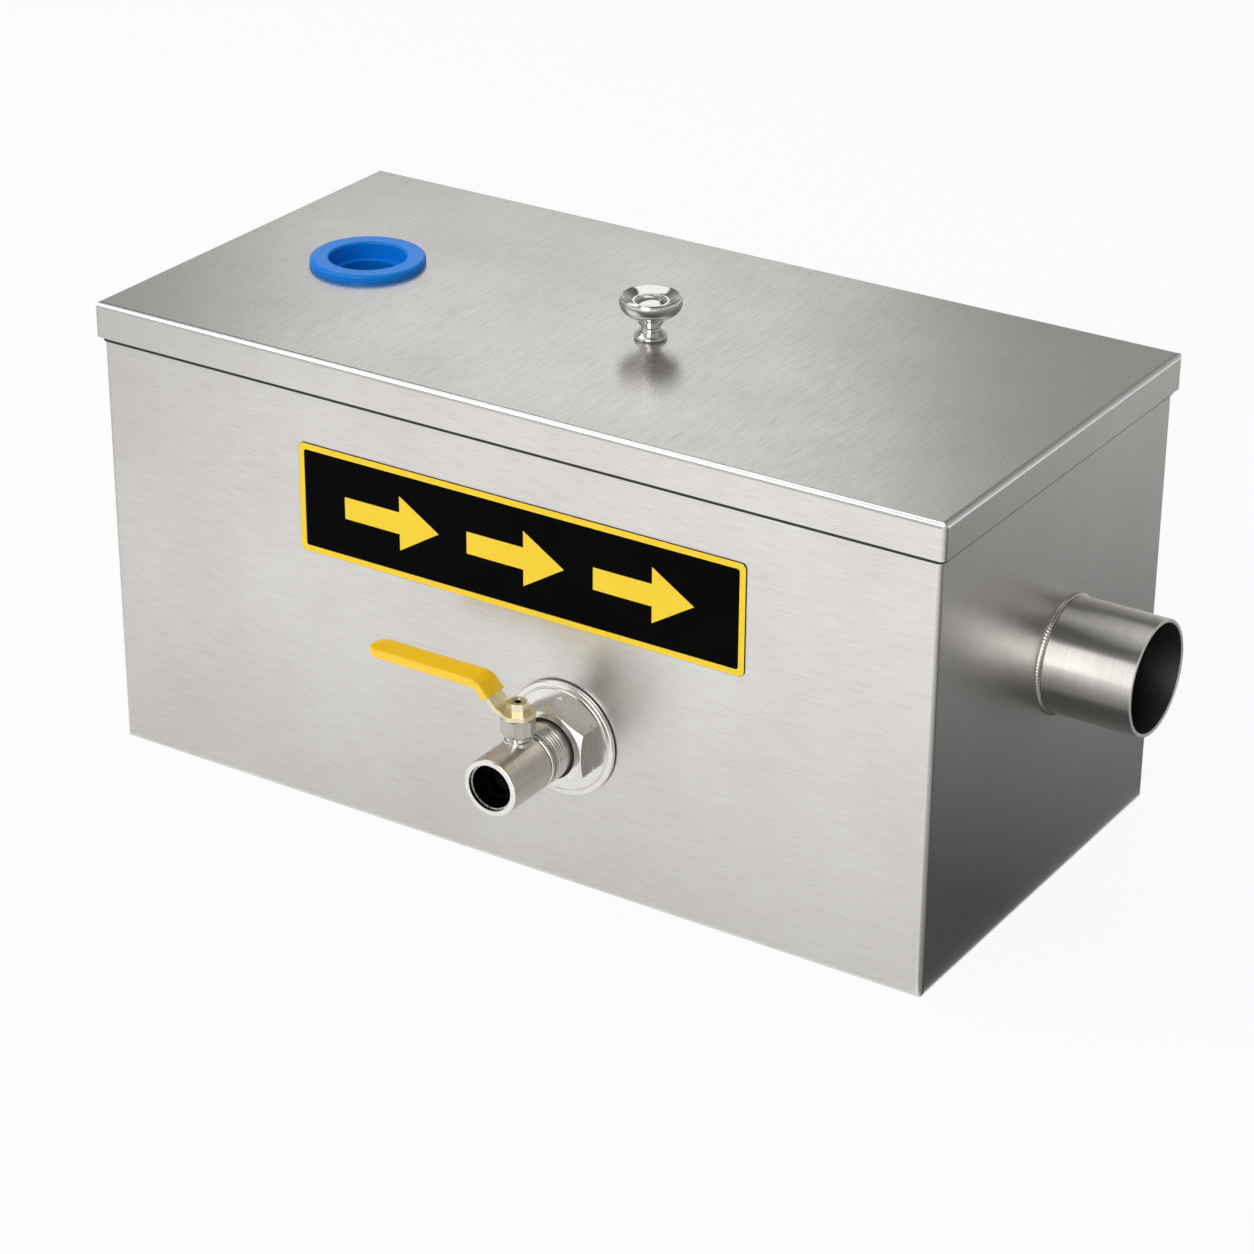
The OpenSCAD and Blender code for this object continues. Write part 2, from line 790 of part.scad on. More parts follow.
module basket_screen() {
    l = basket_l - 2 * basket_t - 2 * slide_gap;
    w = 2 * basket_half_w - 2 * basket_t - 2 * slide_gap;
    nx = floor((l - 2 * basket_ledge - 2 * screen_edge) / screen_pitch);
    ny = floor((w - 2 * basket_ledge - 2 * screen_edge) / screen_pitch);
    color("lightgray")
        translate([basket_x, 0, basket_z - basket_h + basket_t])
            difference() {
                translate([-l / 2, -w / 2, 0])
                    cube([l, w, basket_t]);
                for (i = [0 : nx], j = [0 : ny])
                    translate([(i - nx / 2) * screen_pitch, (j - ny / 2) * screen_pitch, -eps])
                        cylinder(r = screen_hole_r, h = basket_t + 2 * eps);
            }
}

// Wire loop on the inside of the basket's front wall
module basket_handle() {
    leg = handle_leg + handle_h - handle_bend;
    half = handle_w / 2;
    translate([basket_x, basket_t + wire_r + fit - basket_half_w, basket_z - handle_leg]) {
        for (m = [0, 1])
            mirror([m, 0, 0]) {
                translate([half, 0, 0])
                    cylinder(r = wire_r, h = leg);
                translate([half - handle_bend, 0, leg])
                    rotate([90, 0, 0])
                        rotate_extrude(angle = 90)
                            translate([handle_bend, 0])
                                circle(wire_r);
            }
        translate([handle_bend - half, 0, leg + handle_bend])
            rotate([0, 90, 0])
                cylinder(r = wire_r, h = handle_w - 2 * handle_bend);
    }
}

module basket_handle_front() {
    color("silver")
        basket_handle();
}

module basket_handle_rear() {
    color("silver")
        mirror([0, 1, 0])
            basket_handle();
}

module label_plate() {
    color("black")
        translate([label_x, -tank_w / 2, label_z])
            rotate([90, 0, 0])
                linear_extrude(label_t)
                    round_rect(label_l, label_h, label_r);
}

module lid() {
    color("silver")
        difference() {
            translate([0, 0, lid_top])
                mirror([0, 0, 1])
                    pan(lid_l, lid_w, lid_skirt);
            on_lid(inlet_x, inlet_y)
                translate([0, 0, -sheet - eps])
                    cylinder(r = inlet_hole_r, h = sheet + 2 * eps);
            on_lid(knob_x, knob_y)
                translate([0, 0, -sheet - eps])
                    cylinder(r = knob_screw_r + part_gap, h = sheet + 2 * eps);
        }
}

module inlet_grommet() {
    lip_z = -sheet - fit;
    neck = inlet_hole_r - part_gap;
    tail = inlet_throat_r + inlet_tail;
    ledge_z = inlet_flange_h - inlet_mouth_d;
    color("royalblue")
        on_lid(inlet_x, inlet_y)
            rotate_extrude()
                polygon(concat(
                    [[inlet_throat_r, -inlet_reach], [tail, -inlet_reach],
                        [(tail + inlet_lip_r) / 2, inlet_lip_h - inlet_reach],
                        [inlet_lip_r, lip_z - inlet_lip_h], [inlet_lip_r, lip_z], [neck, lip_z],
                        [neck, 0], [inlet_flange_r, 0]],
                    arc([inlet_flange_r - inlet_edge_r, inlet_flange_h - inlet_edge_r], inlet_edge_r, 0, 90),
                    arc([inlet_mouth_r + inlet_mouth_edge_r, inlet_flange_h - inlet_mouth_edge_r],
                        inlet_mouth_edge_r, 90, 180),
                    [[inlet_mouth_r, ledge_z], [inlet_throat_r, ledge_z]]));
}

// Foot, waist, rim and hollow top, as shares of the knob's radius and height
module lid_knob() {
    hole = knob_screw_r + part_gap;
    outline = [
        [0.447, 0], [0.478, 0], [0.528, 0.035], [0.516, 0.087], [0.4, 0.17], [0.294, 0.25],
        [0.38, 0.35], [0.505, 0.46], [0.66, 0.545], [0.83, 0.615], [0.94, 0.7], [0.99, 0.79],
        [1, 0.87], [0.975, 0.961], [0.913, 1], [0.86, 0.988], [0.77, 0.952], [0.68, 0.915],
        [0.62, 0.893], [0.585, knob_seat]
    ];
    seat_r = outline[len(outline) - 1][0] * knob_r;
    color("lightgray")
        on_lid(knob_x, knob_y)
            rotate_extrude()
                polygon(concat(
                    [[hole, 0], [outline[0][0] * knob_r, 0]],
                    smooth([for (p = outline) [p[0] * knob_r, p[1] * knob_h]]),
                    [[seat_r, knob_seat * knob_h], [hole, knob_seat * knob_h]]));
}

module knob_screw() {
    seat = knob_h * knob_seat;
    dome = (knob_head_r * knob_head_r + knob_head_h * knob_head_h) / (2 * knob_head_h);
    color("gainsboro")
        on_lid(knob_x, knob_y) {
            translate([0, 0, -sheet - knob_tail])
                cylinder(r = knob_screw_r, h = seat + sheet + knob_tail);
            difference() {
                intersection() {
                    translate([0, 0, seat])
                        cylinder(r = knob_head_r, h = knob_head_h + 1);
                    translate([0, 0, seat + knob_head_h - dome])
                        sphere(dome);
                }
                translate([-knob_head_r, -knob_slot_w / 2, seat + knob_head_h - knob_slot_d])
                    cube([2 * knob_head_r, knob_slot_w, knob_slot_d + eps]);
            }
        }
}

module knob_washer() {
    color("lightgray")
        on_lid(knob_x, knob_y)
            translate([0, 0, -sheet - knob_washer_t])
                tube(knob_washer_r, knob_screw_r + part_gap, knob_washer_t);
}

module knob_nut() {
    color("lightgray")
        on_lid(knob_x, knob_y)
            translate([0, 0, -sheet - knob_washer_t])
                mirror([0, 0, 1])
                    hex_nut(knob_nut_af, knob_nut_h, knob_screw_r + fit);
}

// Valve housing: shank through the wall, body, neck for the stem
module valve_body() {
    relief_r = shank_r - relief_d;
    bead_from = body_from - relief_w - bead_w;
    color("lightgray")
        difference() {
            union() {
                on_front()
                    rotate_extrude()
                        polygon(concat(
                            [[0, -shank_in], [shank_r - shank_edge, -shank_in],
                                [shank_r, shank_edge - shank_in], [shank_r, bead_from - relief_w],
                                [relief_r, bead_from - relief_w], [relief_r, bead_from]],
                            arc([body_r - bead_w / 2, bead_from + bead_w / 2], bead_w / 2, -90, 90),
                            [[relief_r, bead_from + bead_w], [relief_r, body_from],
                                [body_r - body_break, body_from], [body_r, body_from + body_break]],
                            arc([body_r - body_edge, body_to - body_edge], body_edge, 0, 90),
                            [[0, body_to]]));
                on_stem()
                    rotate_extrude()
                        polygon(concat(
                            [[0, collar_foot], [neck_r + collar, collar_foot]],
                            arc([neck_r + collar / 2, collar_z - collar / 2], collar / 2, 0, 90),
                            [[neck_r, collar_z], [neck_r, gland_z], [spigot_r, gland_z],
                                [spigot_r, neck_top], [0, neck_top]]));
            }
            on_front(-shank_in - eps)
                cylinder(r = shank_bore_r, h = shank_in + stem_out);
            on_front(cavity_from)
                cylinder(r = cavity_r, h = body_to);
            on_front(retainer_to)
                cylinder(r = outlet_bore_r, h = body_to);
            on_front(body_to - mouth_d)
                cylinder(r = outlet_bore_r + mouth_step, h = mouth_d + eps);
            on_stem()
                cylinder(r = stem_r + run_gap, h = neck_top + eps);
            on_front(body_to - dimple_back)
                rotate([-90, 0, dimple_turn])
                    translate([0, 0, body_r - dimple_d])
                        cylinder(r = dimple_r, h = dimple_d + eps, $fn = 32);
        }
}

module outer_gasket() {
    color("dimgray")
        on_front()
            tube(flange_r - gasket_in, stack_r, gasket_t);
}

module flange_washer() {
    low = flange_t - flange_step;
    edge = low / 2;
    step_r = flange_r - flange_rim;
    color("gainsboro")
        on_front(gasket_t)
            rotate_extrude()
                polygon(concat(
                    [[stack_r, 0], [flange_r, 0]],
                    arc([flange_r - edge, low - edge], edge, 0, 90),
                    [[step_r + flange_groove, low], [step_r, low - flange_groove],
                        [step_r - flange_step, flange_t], [stack_r, flange_t]]));
}

module bulkhead_nut() {
    color("gainsboro")
        on_front(nut_from)
            difference() {
                hex_nut(nut_af, nut_t, shank_r + part_gap, nut_foot);
                translate([0, 0, nut_t - 2 * ring_r])
                    cylinder(r = shank_r + 2 * ring_r + 2 * fit, h = 2 * ring_r + eps);
            }
}

module nut_o_ring() {
    color("dimgray")
        on_front(nut_from + nut_t - ring_r)
            rotate_extrude()
                translate([shank_r + ring_r + fit, 0])
                    circle(ring_r);
}

module inner_gasket() {
    color("dimgray")
        on_front(-sheet - gasket_t)
            tube(nut_af / 2 + gasket_past, stack_r, gasket_t);
}

module inner_lock_nut() {
    color("gainsboro")
        on_front(-sheet - gasket_t)
            mirror([0, 0, 1])
                hex_nut(nut_af, lock_nut_t, shank_r + part_gap);
}

// Seat ring with a cup for the ball, lying before the stem
module ball_seat() {
    difference() {
        on_front(cavity_from)
            tube(cavity_r - fit, shank_bore_r - 1, seat_t);
        on_stem()
            sphere(ball_r + run_gap);
    }
}

module seat_inner() {
    color("gray")
        ball_seat();
}

module seat_outer() {
    color("gray")
        translate([0, -2 * stem_out - tank_w, 0])
            mirror([0, 1, 0])
                ball_seat();
}

module seat_retainer() {
    color("gainsboro")
        on_front(seat_to)
            difference() {
                tube(cavity_r - fit, shank_bore_r - 1, retainer_t);
                translate([-cavity_r, -retainer_slot_w / 2, retainer_t - retainer_slot_d])
                    cube([2 * cavity_r, retainer_slot_w, retainer_slot_d + eps]);
            }
}

module stem_packing() {
    color("gray")
        on_stem()
            translate([0, 0, neck_top])
                tube(spigot_r, stem_r + run_gap, packing_t);
}

module gland_nut() {
    color("gainsboro")
        on_stem()
            translate([0, 0, gland_z])
                difference() {
                    rotate([0, 0, gland_turn])
                        hex_nut(gland_af, gland_h, stem_r + run_gap, gland_foot);
                    translate([0, 0, -eps])
                        cylinder(r = spigot_r + fit, h = gland_roof - gland_z + eps);
                }
}

module valve_ball() {
    color("lightgray")
        on_stem()
            difference() {
                sphere(ball_r);
                translate([-ball_r, -ball_r, ball_flat])
                    cube(2 * ball_r);
                rotate([0, 90, 0])
                    cylinder(r = ball_bore_r, h = 2 * ball_r + eps, center = true);
                translate([-ball_r, -tang_half - part_gap, tang_z - part_gap])
                    cube([2 * ball_r, 2 * tang_half + 2 * part_gap, ball_r]);
            }
}

// Round bar with two flats
module flat_sided(r, half, h) {
    intersection() {
        cylinder(r = r, h = h);
        translate([-r - eps, -half, -eps])
            cube([2 * (r + eps), 2 * half, h + 2 * eps]);
    }
}

module valve_stem() {
    shoulder = ball_flat + fit;
    color("gainsboro")
        on_stem()
            difference() {
                union() {
                    translate([0, 0, tang_z])
                        flat_sided(stem_r, tang_half, shoulder - tang_z + eps);
                    translate([0, 0, shoulder])
                        cylinder(r = stem_r + stem_flange, h = stem_flange);
                    translate([0, 0, shoulder])
                        cylinder(r = stem_r, h = eye_z - shoulder - part_gap);
                    translate([0, 0, eye_z - eps])
                        flat_sided(stem_r, flat_half, strap_t + eps - part_gap);
                    translate([0, 0, eye_z])
                        cylinder(r = stem_end_r - fit, h = stem_top - eye_z);
                }
                translate([0, 0, stem_top])
                    cylinder(r = stem_mark_r, h = 2 * stem_mark_d, center = true, $fn = 32);
            }
}

module lever_arm() {
    color("khaki")
        on_stem()
            difference() {
                union() {
                    rotate([90, 0, 0])
                        linear_extrude(strap_w, center = true)
                            polygon(strip(strap_line(lever_l - sleeve_tip), strap_t));
                    translate([0, 0, eye_z])
                        linear_extrude(strap_t)
                            intersection() {
                                rotate(30)
                                    circle(hex_r(eye_af), $fn = 6);
                                circle(eye_af * eye_corner);
                            }
                }
                translate([0, 0, eye_z - eps])
                    flat_sided(stem_r + part_gap, flat_half + part_gap, strap_t + 2 * eps);
            }
}

module lever_sleeve() {
    rings = sleeve_line();
    n = len(pad(1, 1));
    m = len(rings);
    points = [for (p = rings, q = pad(p[3], p[4]))
        [p[0] + sin(p[2]) * q[1], q[0], p[1] + cos(p[2]) * q[1]]];
    sides = [for (i = [0 : m - 2], j = [0 : n - 1])
        [i * n + j, i * n + (j + 1) % n, (i + 1) * n + (j + 1) % n, (i + 1) * n + j]];
    ends = [[for (j = [n - 1 : -1 : 0]) j], [for (j = [0 : n - 1]) (m - 1) * n + j]];
    color("gold")
        on_stem()
            difference() {
                polyhedron(points, concat(sides, ends));
                rotate([90, 0, 0])
                    linear_extrude(strap_w + 2 * fit, center = true)
                        polygon(strip(strap_line(lever_l - sleeve_tip + fit), strap_t + 2 * fit));
            }
}

module stem_nut() {
    color("khaki")
        on_stem()
            translate([0, 0, nut_z])
                hex_nut(stem_nut_af, stem_nut_h, stem_end_r);
}

tank();
rim_seal();
outlet_pipe();
outlet_weld();
dip_elbow();
guide_front_inlet();
guide_rear_inlet();
guide_front_outlet();
guide_rear_outlet();
inlet_baffle();
outlet_baffle();
rail_front();
rail_rear();
basket_frame();
basket_screen();
basket_handle_front();
basket_handle_rear();
label_plate();
lid();
inlet_grommet();
lid_knob();
knob_screw();
knob_washer();
knob_nut();
valve_body();
outer_gasket();
flange_washer();
bulkhead_nut();
nut_o_ring();
inner_gasket();
inner_lock_nut();
seat_inner();
seat_outer();
seat_retainer();
stem_packing();
gland_nut();
valve_ball();
valve_stem();
lever_arm();
lever_sleeve();
stem_nut();
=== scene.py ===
"""Grease trap: finishes, small forms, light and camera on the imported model."""
import logging
import math
from dataclasses import dataclass, replace
from enum import Enum
from typing import Any, Callable, Optional, Sequence

import bpy
from mathutils import Matrix, Vector


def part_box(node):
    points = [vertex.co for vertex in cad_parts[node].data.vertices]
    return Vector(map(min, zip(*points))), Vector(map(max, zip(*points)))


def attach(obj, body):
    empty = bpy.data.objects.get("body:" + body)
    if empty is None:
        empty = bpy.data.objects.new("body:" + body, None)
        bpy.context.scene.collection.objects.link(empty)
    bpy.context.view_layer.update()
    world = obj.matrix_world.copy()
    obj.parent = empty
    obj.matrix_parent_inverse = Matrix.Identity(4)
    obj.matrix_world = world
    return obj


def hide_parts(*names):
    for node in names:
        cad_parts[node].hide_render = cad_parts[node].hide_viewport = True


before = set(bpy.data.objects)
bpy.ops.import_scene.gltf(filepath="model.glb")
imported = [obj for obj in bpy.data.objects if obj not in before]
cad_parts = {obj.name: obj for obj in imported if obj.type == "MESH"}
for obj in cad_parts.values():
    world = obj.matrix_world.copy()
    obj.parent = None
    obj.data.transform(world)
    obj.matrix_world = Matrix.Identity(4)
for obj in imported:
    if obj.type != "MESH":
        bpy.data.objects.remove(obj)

LOG = logging.getLogger("grease_trap")
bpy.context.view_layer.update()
MM = 0.001
SHARP_DEG = 40.0  # faces that meet at more than this are shaded with an edge
FACING = 0.7  # a face looks along an axis if its normal has more than this share of it
STANDING = 0.3  # and stands round the axis if it has less than this

Point = Sequence[float]
Loop = list[Point]
FaceTest = Callable[[bpy.types.MeshPolygon], bool]

ALONG = Vector((1.0, 0.0, 0.0))
ACROSS = Vector((0.0, 1.0, 0.0))
UP = Vector((0.0, 0.0, 1.0))


def srgb(code: str) -> tuple[float, float, float, float]:
    """Turns a colour as it is seen into the linear values a shader takes.

    Args:
        code: Six hex digits, with or without a leading #.

    Returns:
        Linear red, green, blue and an alpha of 1.
    """
    digits = code.lstrip("#")
    seen = [int(digits[i:i + 2], 16) / 255 for i in (0, 2, 4)]
    red, green, blue = (c / 12.92 if c <= 0.04045 else ((c + 0.055) / 1.055) ** 2.4 for c in seen)
    return red, green, blue, 1.0


def add(tree: bpy.types.NodeTree, kind: str, settings: Optional[dict[str, Any]] = None,
        links: Optional[dict[Any, Any]] = None) -> bpy.types.Node:
    """Adds one node with its settings, and fills or links its inputs.

    Args:
        tree: The material's or world's node tree.
        kind: Blender's name for the node's type.
        settings: Properties of the node by name.
        links: Inputs by name or number, each a value or another node's output.

    Returns:
        The new node.
    """
    node = tree.nodes.new(kind)
    for key, value in (settings or {}).items():
        setattr(node, key, value)
    for key, value in (links or {}).items():
        if isinstance(value, bpy.types.NodeSocket):
            tree.links.new(value, node.inputs[key])
        else:
            node.inputs[key].default_value = value
    return node


def blank_material(name: str) -> tuple[bpy.types.Material, bpy.types.NodeTree]:
    """Makes a material with an empty node tree.

    Args:
        name: The material's name.

    Returns:
        The material and its tree.
    """
    material = bpy.data.materials.new(name)
    material.use_nodes = True
    material.node_tree.nodes.clear()
    return material, material.node_tree


class Lay(Enum):
    """How the fine lines of a worked metal run."""

    SHEET = "straight along each face"
    ROUND_X = "rings round X"
    ROUND_Y = "rings round Y"
    ROUND_Z = "rings round Z"
    NONE = "no lines, an even mottle"


@dataclass(frozen=True)
class Metal:
    """A bare metal with the marks that its making left.

    The real lines of the tool are finer than a pixel of the main view, which is about 0.5 mm, so
    line_mm draws them at least that wide. mark_span is the range of the noise that is used.
    """

    name: str
    dark: str
    light: str
    smooth: float
    coarse: float
    lay: Lay = Lay.NONE
    line_mm: float = 0.9
    run_mm: float = 30.0
    relief_mm: float = 0.004
    cloud_mm: float = 70.0
    stretch: float = 0.0
    cloud_share: float = 0.45
    mark_span: tuple[float, float] = (0.45, 1.0)

    def material(self) -> bpy.types.Material:
        """Builds the shader: lines and clouds drive tone, gloss and a slight relief.

        Returns:
            The finished material.
        """
        material, tree = blank_material(self.name)
        place = add(tree, "ShaderNodeTexCoord")
        scaled = add(tree, "ShaderNodeVectorMath", {"operation": "MULTIPLY"},
                     {0: place.outputs["Object"], 1: self.line_scale(tree, place)})
        lines = add(tree, "ShaderNodeTexNoise", None,
                    {"Vector": scaled.outputs[0], "Scale": 1.0, "Detail": 4.0, "Roughness": 0.6})
        cloud = add(tree, "ShaderNodeTexNoise", None,
                    {"Vector": place.outputs["Object"], "Scale": 1.0 / (self.cloud_mm * MM),
                     "Detail": 2.0, "Roughness": 0.5})
        both = add(tree, "ShaderNodeMath", {"operation": "MULTIPLY_ADD"},
                   {0: cloud.outputs[0], 1: self.cloud_share, 2: lines.outputs[0]})
        share = add(tree, "ShaderNodeMapRange", None,
                    {"Value": both.outputs[0], "From Min": self.mark_span[0],
                     "From Max": self.mark_span[1]})
        tone = add(tree, "ShaderNodeMix", {"data_type": "RGBA"},
                   {0: share.outputs[0], 6: srgb(self.dark), 7: srgb(self.light)})
        gloss = add(tree, "ShaderNodeMapRange", None,
                    {"Value": share.outputs[0], "To Min": self.coarse, "To Max": self.smooth})
        relief = add(tree, "ShaderNodeBump", None,
                     {"Strength": 1.0, "Distance": self.relief_mm * MM, "Height": lines.outputs[0]})
        inputs = {"Base Color": tone.outputs[2], "Metallic": 1.0, "Roughness": gloss.outputs[0],
                  "Anisotropic": self.stretch, "Normal": relief.outputs[0]}
        if self.stretch > 0:
            inputs["Tangent"] = self.across(tree, place)
        shader = add(tree, "ShaderNodeBsdfPrincipled", None, inputs)
        add(tree, "ShaderNodeOutputMaterial", None, {"Surface": shader.outputs[0]})
        return material

    def line_scale(self, tree: bpy.types.NodeTree, place: bpy.types.Node) -> Any:
        """Gives the scale of the lines along X, Y and Z.

        Args:
            tree: The material's node tree.
            place: Its texture coordinates.

        Returns:
            Three numbers, or a socket where the lines turn with the face.
        """
        line, run = 1.0 / (self.line_mm * MM), 1.0 / (self.run_mm * MM)
        fixed = {Lay.ROUND_X: (line, run, run), Lay.ROUND_Y: (run, line, run),
                 Lay.ROUND_Z: (run, run, line), Lay.NONE: (line, line, line)}
        if self.lay in fixed:
            return fixed[self.lay]
        facing = self.faces(tree, place, "Y")
        along = add(tree, "ShaderNodeMath", {"operation": "MULTIPLY_ADD"},
                    {0: facing, 1: run - line, 2: line})
        scale = add(tree, "ShaderNodeCombineXYZ", None, {0: along.outputs[0], 1: run, 2: line})
        return scale.outputs[0]

    def across(self, tree: bpy.types.NodeTree, place: bpy.types.Node) -> bpy.types.NodeSocket:
        """Gives the direction across the lines, along which a highlight is drawn out.

        Args:
            tree: The material's node tree.
            place: Its texture coordinates.

        Returns:
            The axis on round parts. On sheet, X on level faces and Z on upright ones.
        """
        axes = {Lay.ROUND_X: ALONG, Lay.ROUND_Y: ACROSS, Lay.ROUND_Z: UP}
        if self.lay in axes:
            x, y, z = axes[self.lay]
            return add(tree, "ShaderNodeCombineXYZ", None, {0: x, 1: y, 2: z}).outputs[0]
        level = self.faces(tree, place, "Z")
        upright = add(tree, "ShaderNodeMath", {"operation": "SUBTRACT"}, {0: 1.0, 1: level})
        way = add(tree, "ShaderNodeCombineXYZ", None, {0: level, 1: 0.0, 2: upright.outputs[0]})
        return way.outputs[0]

    @staticmethod
    def faces(tree: bpy.types.NodeTree, place: bpy.types.Node, axis: str) -> bpy.types.NodeSocket:
        """Gives 1 on faces that look along an axis, and 0 elsewhere.

        Args:
            tree: The material's node tree.
            place: Its texture coordinates.
            axis: "X", "Y" or "Z".

        Returns:
            The number's socket.
        """
        parts = add(tree, "ShaderNodeSeparateXYZ", None, {0: place.outputs["Normal"]})
        size = add(tree, "ShaderNodeMath", {"operation": "ABSOLUTE"}, {0: parts.outputs[axis]})
        return add(tree, "ShaderNodeMath", {"operation": "GREATER_THAN"},
                   {0: size.outputs[0], 1: FACING}).outputs[0]


@dataclass(frozen=True)
class Polymer:
    """A rubber, vinyl or film with an even colour, a fine skin and a soft gloss.

    skin_span is the range of the skin's noise that is used.
    """

    name: str
    dark: str
    light: str
    smooth: float
    coarse: float
    index: float = 1.5
    skin_mm: float = 1.2
    relief_mm: float = 0.01
    cloud_mm: float = 25.0
    shine: float = 0.5
    coat: float = 0.0
    coat_roughness: float = 0.1
    skin_span: tuple[float, float] = (0.3, 0.7)

    def material(self) -> bpy.types.Material:
        """Builds the shader: a cloud in the colour, and a fine skin in the gloss and relief.

        Returns:
            The finished material.
        """
        material, tree = blank_material(self.name)
        place = add(tree, "ShaderNodeTexCoord")
        skin = add(tree, "ShaderNodeTexNoise", None,
                   {"Vector": place.outputs["Object"], "Scale": 1.0 / (self.skin_mm * MM),
                    "Detail": 3.0})
        cloud = add(tree, "ShaderNodeTexNoise", None,
                    {"Vector": place.outputs["Object"], "Scale": 1.0 / (self.cloud_mm * MM),
                     "Detail": 2.0})
        tone = add(tree, "ShaderNodeMix", {"data_type": "RGBA"},
                   {0: cloud.outputs[0], 6: srgb(self.dark), 7: srgb(self.light)})
        gloss = add(tree, "ShaderNodeMapRange", None,
                    {"Value": skin.outputs[0], "From Min": self.skin_span[0],
                     "From Max": self.skin_span[1], "To Min": self.smooth, "To Max": self.coarse})
        relief = add(tree, "ShaderNodeBump", None,
                     {"Strength": 1.0, "Distance": self.relief_mm * MM, "Height": skin.outputs[0]})
        shader = add(tree, "ShaderNodeBsdfPrincipled", None,
                     {"Base Color": tone.outputs[2], "Roughness": gloss.outputs[0],
                      "IOR": self.index, "Specular IOR Level": self.shine,
                      "Coat Weight": self.coat, "Coat Roughness": self.coat_roughness,
                      "Normal": relief.outputs[0]})
        add(tree, "ShaderNodeOutputMaterial", None, {"Surface": shader.outputs[0]})
        return material


# Stainless sheet, ground with a belt: straight grey lines that draw highlights out across them.
BRUSHED_STAINLESS = Metal("brushed_stainless_sheet", "#ccc9c6", "#dfdedb", 0.29, 0.37, Lay.SHEET,
                          line_mm=0.5, run_mm=14.0, relief_mm=0.0016, stretch=0.4)
# The same sheet under a finer belt, for the lid: it mirrors the knob and the grommet more clearly.
FINE_STAINLESS = replace(BRUSHED_STAINLESS, name="fine_brushed_stainless_sheet", smooth=0.24,
                         coarse=0.31)
# A lighter, smoother copy of the sheet on the lid's folds: painted highlight, a clean, bright line.
FOLDED_STAINLESS = Metal("fold_painted_highlight", "#f3f2f0", "#fbfaf9", 0.17, 0.23,
                         line_mm=0.8, relief_mm=0.001)
# Stainless tube, ground and buffed round its axis: clear light and dark bands with a slight blur.
BUFFED_STAINLESS = Metal("buffed_stainless_tube", "#d8d5d0", "#e9e6e1", 0.34, 0.42, Lay.ROUND_X,
                         line_mm=0.8, run_mm=18.0, relief_mm=0.002, stretch=1.0)
# The tube's inside, pickled after welding: dull, and much darker than the outside as painted shade.
PICKLED_STAINLESS = Metal("pickled_tube_painted_shade", "#6a6864", "#83817c", 0.4, 0.52,
                          line_mm=1.5, relief_mm=0.004)
# The tube's end, sawn and deburred: a pale, rough ring that gathers light from all round.
SAWN_STAINLESS = Metal("sawn_stainless_edge", "#ecebe8", "#f8f7f5", 0.6, 0.72,
                       line_mm=1.0, relief_mm=0.003)
# Weld metal on stainless, brushed clean: bright, with a trace of straw from the heat.
WELD_METAL = Metal("brushed_weld_bead", "#c4bfb5", "#e2dfd9", 0.12, 0.24,
                   line_mm=1.5, relief_mm=0.01)
# Stainless sheet as rolled: a dull, even grey without lines.
ROLLED_STAINLESS = Metal("cold_rolled_stainless", "#b0aeaa", "#c6c4c0", 0.26, 0.36, line_mm=2.5,
                         relief_mm=0.004)
# Steel turned and polished: almost a mirror, with faint rings.
POLISHED_STEEL = Metal("polished_steel", "#d8d6d3", "#eae9e7", 0.11, 0.16, Lay.ROUND_Z,
                       line_mm=0.8, run_mm=12.0, relief_mm=0.001)
# Brass turned on a lathe and nickel plated: a warm silver with fine rings.
NICKEL_PLATE = Metal("nickel_plated_brass", "#b5b0a8", "#cdc9c2", 0.3, 0.4, Lay.ROUND_Y,
                     line_mm=0.8, run_mm=14.0, relief_mm=0.003, stretch=0.7)
# The steps of the way, rough as turned, and paler as a painted highlight: a ring that gathers
# light.
TURNED_NICKEL = replace(NICKEL_PLATE, name="turned_step_painted_highlight", dark="#d8d5cf", light="#eae8e3",
                        smooth=0.58, coarse=0.68)
# The same plating over the nut's milled flats, duller than its turned face, and darker as painted
# shade.
DULL_NICKEL = Metal("nickel_flats_painted_shade", "#8b8883", "#a09d97", 0.32, 0.42,
                    line_mm=1.2, relief_mm=0.004)
# The plating buffed on nuts and flange, lighter as a painted highlight: soft mirror images.
BRIGHT_NICKEL = Metal("buffed_nickel_painted_highlight", "#e2e0db", "#f1f0ed", 0.16, 0.24, Lay.ROUND_Y,
                      line_mm=0.8, run_mm=14.0, relief_mm=0.002)
# Near-black steel deep in the valve, with a faint sheen: painted shade in the bore and holes.
BLACKENED_STEEL = Metal("deep_bore_painted_shade", "#0d0c0c", "#1a1918", 0.36, 0.46,
                        line_mm=2.0, relief_mm=0.002)
# Steel stamped, zinc plated and passivated: silver with a yellow cast.
PASSIVATED_STEEL = Metal("yellow_passivated_steel", "#dcd1aa", "#efe6c8", 0.36, 0.46, line_mm=3.0,
                         relief_mm=0.004)
# The same plating on the turned stem nut, smoother and paler: the paler tone is a painted
# highlight.
PALE_PASSIVATED = replace(PASSIVATED_STEEL, name="passivated_nut_painted_highlight", dark="#d2caae",
                          light="#ece7d4", smooth=0.18, coarse=0.28)
# Silicone rubber, moulded: deep blue with a soft shine on its edges.
BLUE_RUBBER = Polymer("moulded_blue_rubber", "#0679d8", "#0e86e6", 0.24, 0.34, index=1.45,
                      relief_mm=0.002, shine=0.25)
# Nitrile rubber, moulded: nearly black and matt.
BLACK_RUBBER = Polymer("moulded_black_rubber", "#131313", "#1e1e1e", 0.5, 0.65)
# Vinyl skin, dipped on the steel: even warm yellow with a wet shine.
DIPPED_VINYL = Polymer("dipped_yellow_vinyl", "#ffc80a", "#ffd21c", 0.3, 0.4, index=1.53,
                       skin_mm=2.5, relief_mm=0.008, coat=0.5, coat_roughness=0.12)
